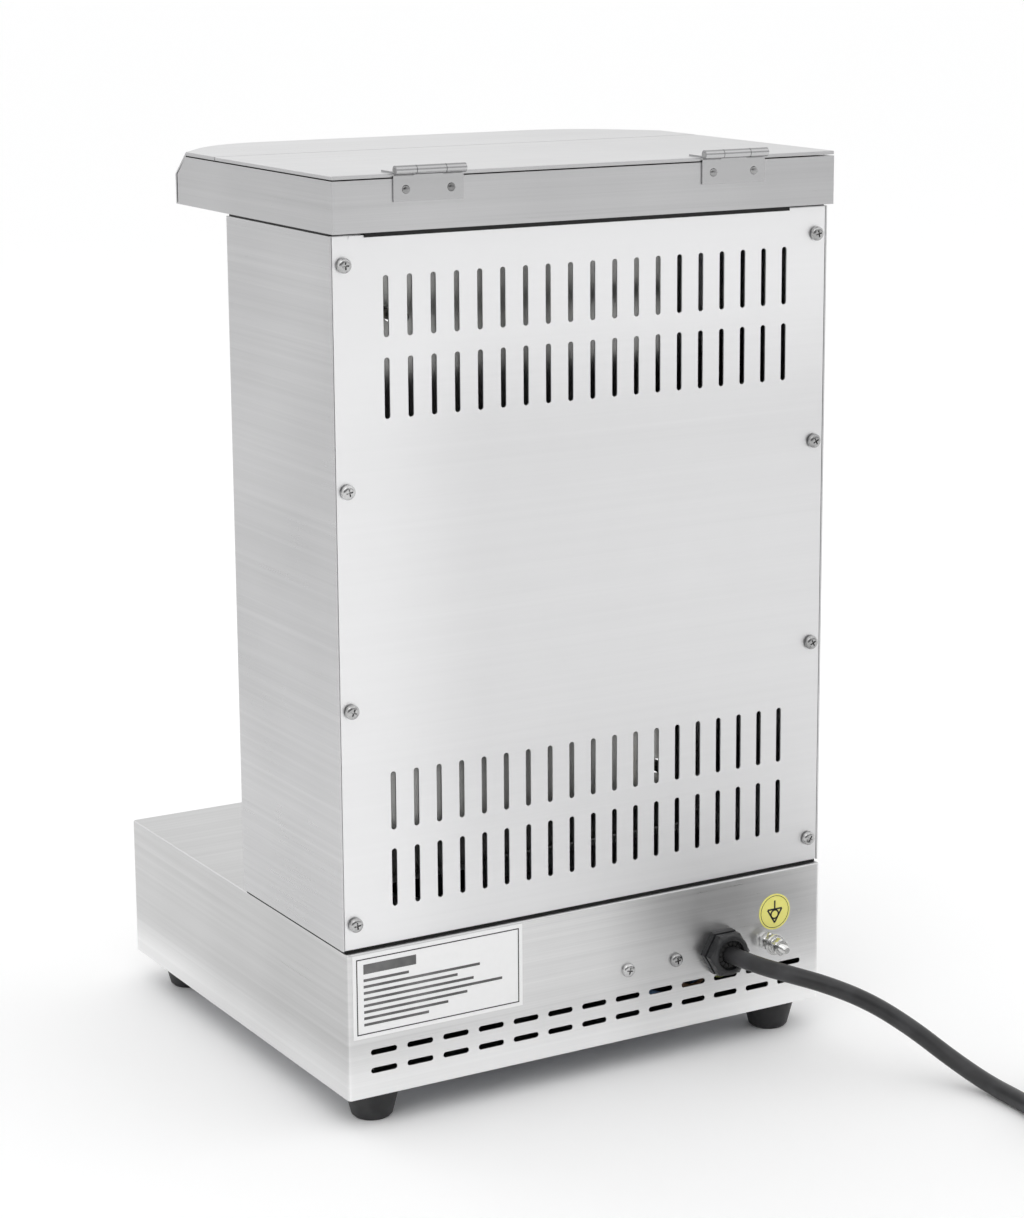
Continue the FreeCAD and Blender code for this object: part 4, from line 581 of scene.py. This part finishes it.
screwHead = panHead(screwLook)
screwRows = {"panelFace": 0.1424, "side": 0.148, "lowest": 0.1164, "pitch": 0.1179, "perSide": 4,
             "baseFace": 0.145, "baseMiddle": -0.0385, "baseShift": 0.01615, "baseLevel": 0.0596}
rearPlaces = [(side * screwRows["side"], screwRows["panelFace"], screwRows["lowest"] + screwRows["pitch"] * i)
              for side in (-1, 1) for i in range(screwRows["perSide"])]
rearPlaces += [(screwRows["baseMiddle"] + side * screwRows["baseShift"], screwRows["baseFace"],
                screwRows["baseLevel"]) for side in (-1, 1)]
screwShapes = [moved(screwHead, standing((0, 1, 0), at, random.uniform(0, math.pi))) for at in rearPlaces]
rearScrews = finished("rearScrews", *gathered(screwShapes), "screwMetal", "housing", "screw_steel")
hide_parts("rear_screws")

rivetLook = {"head": 0.0023, "rise": 0.0011, "stem": 0.0014, "tail": 0.0021, "tailHeight": 0.0008,
             "spacing": 0.01325, "hinges": (0.101, -0.088),
             "rows": (("tailRivets", "hinge_rivets", (0, 1, 0), (0.1479, 0.5078), "housing", 0.0019),
                      ("leafRivets", "lid_rivets", (0, 0, 1), (0.1406, 0.5171), "lid", 0.0029))}


def rivetShape(grip):  # a domed rivet along -Z with its seat at the origin
    look = rivetLook
    profile = [(look["tail"], -grip - look["tailHeight"]), (look["tail"], -grip), (look["stem"], -grip),
               (look["stem"], 0), (look["head"], 0)]
    for step in range(1, 9):
        angle = step / 9 * math.pi / 2
        profile.append((look["head"] * math.cos(angle), look["rise"] * math.sin(angle)))
    return grid(turnedRows(profile, 32), capFirst=True, capLast=True)


for name, node, axis, level, body, grip in rivetLook["rows"]:
    rivets = [moved(rivetShape(grip), standing(axis, (centre + side * rivetLook["spacing"], *level)))
              for centre in rivetLook["hinges"] for side in (-1, 1)]
    row = finished(name, *gathered(rivets), "rivetMetal", body, "rivet_steel")
    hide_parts(node)


def nutShape(flats, start, end, bore, chamfer, count=96):  # a hexagon nut about +Z with chamfered corners
    corner = flats / math.sqrt(3)
    face = flats / 2 * earthLook["faceShare"]
    profile = [(bore, start), (face, start), (corner, start + chamfer), (corner, end - chamfer), (face, end),
               (bore, end)]
    rows = turnedRows(profile, count, hexReach(flats))
    rows.append(rows[0])
    return grid(rows)


earthLook = {"at": (-0.1178, 0.145, 0.0596), "radius": 0.0025, "depth": 0.0004, "pitch": 0.0008,
             "end": 0.021, "inside": -0.012, "tip": 0.0012, "play": 0.0001, "bevel": 0.0002,
             "faceShare": 0.97,
             "nuts": ((0.008, -0.005, -0.001, 0.0005), (0.010, 0, 0.004, 0.0006),
                      (0.009, 0.0106, 0.0151, 0.0006)),  # across flats, start, end, chamfer
             "washers": ((0.00625, 0.008, 0.0092), (0.005, 0.0093, 0.0105))}  # radius, start, end
crest, root = earthLook["radius"], earthLook["radius"] - earthLook["depth"]
threadProfile = [(crest * 0.8, earthLook["inside"])]
height = earthLook["inside"]
while height < earthLook["end"] - earthLook["tip"]:
    threadProfile += [(root, height), (crest, height + earthLook["pitch"] / 2)]
    height += earthLook["pitch"]
threadProfile += [(root, earthLook["end"] - 0.0008), (crest - 0.0008, earthLook["end"])]
threadShape = grid(turnedRows(threadProfile, 32), capFirst=True, capLast=True)
earthPlace = standing((0, 1, 0), earthLook["at"])
earthStud = finished("earthThread", *moved(threadShape, earthPlace), "zincBright", "housing", "zinc_hardware",
                     smooth=False)
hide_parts("earth_stud")


def washerShape(outer, start, end, bore):  # a flat washer about +Z
    bevel = earthLook["bevel"]
    rows = turnedRows([(bore, start), (outer - bevel, start), (outer, start + bevel), (outer, end - bevel),
                       (outer - bevel, end), (bore, end)], 48)
    rows.append(rows[0])
    return grid(rows)


earthBore = earthLook["radius"] + earthLook["play"]
nuts = [nutShape(flats, start, end, earthBore, chamfer) for flats, start, end, chamfer in earthLook["nuts"]]
washers = [washerShape(outer, start, end, earthBore) for outer, start, end in earthLook["washers"]]
earthParts = [*nuts[:2], *washers, nuts[2]]
earthStack = finished("earthStack", *moved(gathered(earthParts), earthPlace), "zincBright", "housing",
                      "zinc_hardware")
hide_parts("earth_nuts")

glandLook = {"at": (-0.0858, 0.145, 0.0596), "flats": 0.0237, "mouth": 0.0086, "spin": math.pi / 6,
             "fingers": 14, "fingerEdges": (0.1, 0.5, 0.9)}
mouth = glandLook["mouth"]
glandProfile = [(0.0101, 0.0042), (0.0114, 0.0042), (0.0137, 0.0052), (0.0137, 0.0094), (0.0118, 0.0106),
                (0.0110, 0.0111), (mouth + 0.0010, 0.0112), (mouth + 0.0003, 0.0110), (mouth, 0.0104),
                (mouth, 0.0090), (0.0101, 0.0090)]
glandRows = turnedRows(glandProfile, 144, hexReach(glandLook["flats"]))
glandRows.append(glandRows[0])
glandPlace = standing((0, 1, 0), glandLook["at"], glandLook["spin"])
glandCap = finished("glandCap", *moved(grid(glandRows), glandPlace), "glandNylon", "housing", "gland_nylon")
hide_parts("gland_nut")

fingerOutline = [(0.0083, 0.0066), (0.0083, 0.0092), (0.0068, 0.0101), (0.0053, 0.0097), (0.0053, 0.0066)]
fingers = []
for index in range(glandLook["fingers"]):  # soft fingers that close on the sheath
    wedge = []
    for share in glandLook["fingerEdges"]:
        a = 2 * math.pi * (index + share) / glandLook["fingers"]
        wedge.append([Vector((r * math.cos(a), r * math.sin(a), level)) for r, level in fingerOutline])
    fingers.append(grid(wedge, capFirst=True, capLast=True))
sealShape = moved(gathered(fingers), standing((0, 1, 0), glandLook["at"]))
finished("cableSeal", *sealShape, "sealRubber", "housing", "gland_nylon")
print("fasteners and gland made")

shadeStripLook = {"recess": 0.0006, "depth": 0.0008, "play": 0.0001, "corner": 0.0015,
             "lower": (0.101, 0.1023), "upper": (0.4853, 0.4866),  # painted shade: the dark strips in the joints under and over the column
             # the hem row is a dark slab on the back panel's top hem, painted shade that thickens the line
             # there
             "hem": ((-0.1290, 0.1424, 0.4839), (0.1360, 0.1431, 0.4863))}


def shadeStrip(name, joint, extra=()):  # a thin dark strip round the column in a joint, painted shade standing in for the joint's shadow
    low, high = joint[0] + shadeStripLook["play"], joint[1] - shadeStripLook["play"]
    (x0, y0, _), (x1, y1, _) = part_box("column_shell")
    rows = []
    for inset, level in ((0, low), (0, high), (1, high), (1, low)):
        inward = shadeStripLook["recess"] + inset * shadeStripLook["depth"]
        row = []
        corners = ((x1, y1, -1, -1), (x0, y1, 1, -1), (x0, y0, 1, 1), (x1, y0, -1, 1))
        for turn, (x, y, sx, sy) in enumerate(corners):
            bend = shadeStripLook["corner"] + shadeStripLook["depth"] * (1 - inset)
            centre = Vector((x + sx * (inward + bend), y + sy * (inward + bend), level))
            for step in range(5):
                angle = math.pi / 2 * (turn + step / 4)
                row.append(centre + bend * Vector((math.cos(angle), math.sin(angle), 0)))
        rows.append(row)
    rows.append(rows[0])
    shapes = [grid(rows), *extra]
    return finished(name, *gathered(shapes), "sealRubber", "housing", "foot_rubber", smooth=False)


# dark strips that paint the shade under and over the column, the upper one with a slab on the back panel's
# hem
shadeStrip("lowerShadeStrip", shadeStripLook["lower"])
shadeStrip("upperShadeStrip", shadeStripLook["upper"], [slab(*shadeStripLook["hem"])])


def bezier(ends, share):  # a point on a cubic curve
    a, b, c, d = (Vector(end) for end in ends)
    rest = 1 - share
    return rest ** 3 * a + 3 * rest ** 2 * share * b + 3 * rest * share ** 2 * c + share ** 3 * d


def tube(ends, radius, steps=28, count=12):  # a round lead along one curve
    rows = []
    for i in range(steps + 1):
        share = i / steps
        at = bezier(ends, share)
        way = bezier(ends, min(share + 0.01, 1)) - bezier(ends, max(share - 0.01, 0))
        turn = way.to_track_quat("Z", "Y").to_matrix()
        angles = [2 * math.pi * k / count for k in range(count)]
        rows.append([at + turn @ Vector((radius * math.cos(a), radius * math.sin(a), 0)) for a in angles])
    return grid(rows, capFirst=True, capLast=True)


leadLook = {"radius": 0.0014, "spread": 0.003, "leave": 0.129, "sag": (0.004, 0.006),
            "end": (0.1345, 0.0560),
            "leads": (("leadLive", "brownLead", -0.0545, 0.0365),  # name, finish, end, lowest level
                      ("leadNeutral", "blueLead", -0.0222, 0.0335),
                      ("leadEarth", "earthLead", -0.1120, 0.0400))}
glandX, _, glandZ = glandLook["at"]
back, level = leadLook["end"]
for index, (name, finish, across, dip) in enumerate(leadLook["leads"]):
    ends = [(glandX + leadLook["spread"] * (index - 1), leadLook["leave"], glandZ),
            (-0.0840, 0.136, dip - leadLook["sag"][0]),
            ((across + glandX) / 2 + 0.008, 0.1395, dip - leadLook["sag"][1]),
            (across, back - 0.002 * index, level)]
    finished(name, *tube(ends, leadLook["radius"]), finish, "housing", "terminal_plastic")
print("joint strips and leads made")


labelLook = {"face": 0.1453, "proud": 0.00008, "sunk": -0.0001, "low": (0.0468, 0.0523),
             "high": (0.1518, 0.0998), "inset": 0.0022, "rule": 0.0006,
             "block": (0.0065, 0.0055, 0.0385, 0.0110),  # from the top corner: across, down, across, down
             "firstLine": 0.0138, "linePitch": 0.0036, "lineHeight": 0.0015, "lineStart": 0.0065,
             "lineEnds": (0.034, 0.078, 0.064, 0.074, 0.092, 0.070, 0.058, 0.046)}


def flatBar(x0, z0, x1, z1):  # ink standing just proud of a label
    return slab((min(x0, x1), labelLook["face"] + labelLook["sunk"], min(z0, z1)),
                (max(x0, x1), labelLook["face"] + labelLook["proud"], max(z0, z1)))


(left, low), (right, high) = labelLook["low"], labelLook["high"]
edge, rule = labelLook["inset"], labelLook["rule"]
border = [flatBar(left + edge, low + edge, right - edge, low + edge + rule),
          flatBar(left + edge, high - edge - rule, right - edge, high - edge),
          flatBar(left + edge, low + edge + rule, left + edge + rule, high - edge - rule),
          flatBar(right - edge - rule, low + edge + rule, right - edge, high - edge - rule)]
finished("labelBorder", *gathered(border), "blackInk", "housing", "rating_label", smooth=False)
nearX, nearZ, farX, farZ = labelLook["block"]
lines = [flatBar(right - nearX, high - nearZ, right - farX, high - farZ)]
for index, end in enumerate(labelLook["lineEnds"]):
    top = high - labelLook["firstLine"] - index * labelLook["linePitch"]
    lines.append(flatBar(right - labelLook["lineStart"], top, right - end, top - labelLook["lineHeight"]))
finished("labelLines", *gathered(lines), "greyInk", "housing", "rating_label", smooth=False)

earthMark = {"centre": (-0.123, 0.0764), "radius": 0.0098, "rim": 0.0003, "stroke": 0.0010, "half": 0.0050,
             "stem": 0.0068, "top": 0.0016, "tip": -0.0066, "eye": 0.0031}


def inkRing(radius, width, at, count=64):  # a flat ring of ink on the labels' plane
    sunk, proud = labelLook["sunk"], labelLook["proud"]
    angles = [2 * math.pi * i / count for i in range(count)]
    rows = []
    for r, y in ((radius - width, sunk), (radius, sunk), (radius, proud), (radius - width, proud)):
        level = labelLook["face"] + y
        rows.append([Vector((at[0] + r * math.cos(a), level, at[1] + r * math.sin(a))) for a in angles])
    rows.append(rows[0])
    return grid(rows)


def inkStroke(a, b, width):  # a straight stroke of ink from a to b
    (ax, az), (bx, bz) = a, b
    along = Vector((bx - ax, bz - az)).normalized()
    side = Vector((-along.y, along.x)) * width / 2
    corners = [(ax + side.x, az + side.y), (ax - side.x, az - side.y), (bx - side.x, bz - side.y),
               (bx + side.x, bz + side.y)]
    levels = [labelLook["face"] + y for y in (labelLook["sunk"], labelLook["proud"])]
    rows = [[Vector((x, level, z)) for x, z in corners] for level in levels]
    return grid(rows, capFirst=True, capLast=True)


cx, cz = earthMark["centre"]
mark = [inkRing(earthMark["radius"], earthMark["rim"], (cx, cz))]
stroke, half, top, tip = (earthMark[word] for word in ("stroke", "half", "top", "tip"))
strokes = (((0, earthMark["stem"]), (0, top)), ((-half, top), (half, top)), ((half, top), (0, tip)),
           ((0, tip), (-half, top)))
for a, b in strokes:
    mark.append(inkStroke((cx + a[0], cz + a[1]), (cx + b[0], cz + b[1]), stroke))
mark.append(inkRing(earthMark["eye"], stroke, (cx, cz + top - earthMark["eye"]), 40))
finished("earthMark", *gathered(mark), "blackInk", "housing", "earth_label", smooth=False)
print("labels made")


panelMarks = {"face": -0.1458, "knobs": (-0.085, 0.085), "height": 0.060, "inner": 0.0215, "outer": 0.0245,
              "half": 0.0003, "ticks": 11, "start": -60, "sweep": 300}
tick = slab((-panelMarks["half"], -0.00008, 0),
            (panelMarks["half"], 0.0001, panelMarks["outer"] - panelMarks["inner"]))
ticks = []
for across in panelMarks["knobs"]:
    centre = Matrix.Translation((across, panelMarks["face"], panelMarks["height"]))
    for index in range(panelMarks["ticks"]):
        angle = math.radians(panelMarks["start"] - panelMarks["sweep"] * index / (panelMarks["ticks"] - 1))
        turn = Matrix.Rotation(angle + math.pi / 2, 4, "Y")
        ticks.append(moved(tick, centre @ turn @ Matrix.Translation((0, 0, panelMarks["inner"]))))
finished("dialScales", *gathered(ticks), "blackInk", "housing", "knob_plastic", smooth=False)

pointerLook = {"half": 0.0007, "low": 0.0637, "high": 0.0726, "front": -0.16608, "back": -0.1659,
               "pieces": (("pointerLeft", "dial_left"), ("pointerRight", "dial_right"))}
for (name, body), across in zip(pointerLook["pieces"], panelMarks["knobs"]):
    half = pointerLook["half"]
    outline = []
    for end, start in ((pointerLook["high"], 0), (pointerLook["low"], math.pi)):
        for step in range(9):
            angle = start + math.pi * step / 8
            outline.append((across + half * math.cos(angle), end + half * math.sin(angle)))
    layers = [[Vector((x, y, z)) for x, z in outline] for y in (pointerLook["front"], pointerLook["back"])]
    finished(name, *grid(layers, capFirst=True, capLast=True), "whiteInk", body, "knob_plastic", smooth=False)

rockerLook = {"pivot": (0, -0.1448, 0.060), "rest": 9, "slope": 6.9, "reach": 0.0042, "face": -0.0031,
              "stroke": 0.0006, "size": 0.0016}
size = rockerLook["size"]
onMark = inkStroke((0, size), (0, -size), rockerLook["stroke"])
offMark = inkRing(size, rockerLook["stroke"], (0, 0), 32)
rockerMarks = []
for side, shape in ((1, onMark), (-1, offMark)):
    place = Matrix.Translation(rockerLook["pivot"])
    place = place @ Matrix.Rotation(math.radians(rockerLook["rest"]), 4, "X")
    place = place @ Matrix.Translation((0, rockerLook["face"], side * rockerLook["reach"]))
    place = place @ Matrix.Rotation(math.radians(side * rockerLook["slope"]), 4, "X")
    place = place @ Matrix.Rotation(math.pi, 4, "Z") @ Matrix.Translation((0, -labelLook["face"], 0))
    rockerMarks.append(moved(shape, place))
finished("rockerMarks", *gathered(rockerMarks), "whiteInk", "rocker", "rocker_plastic", smooth=False)
print("control marks made")
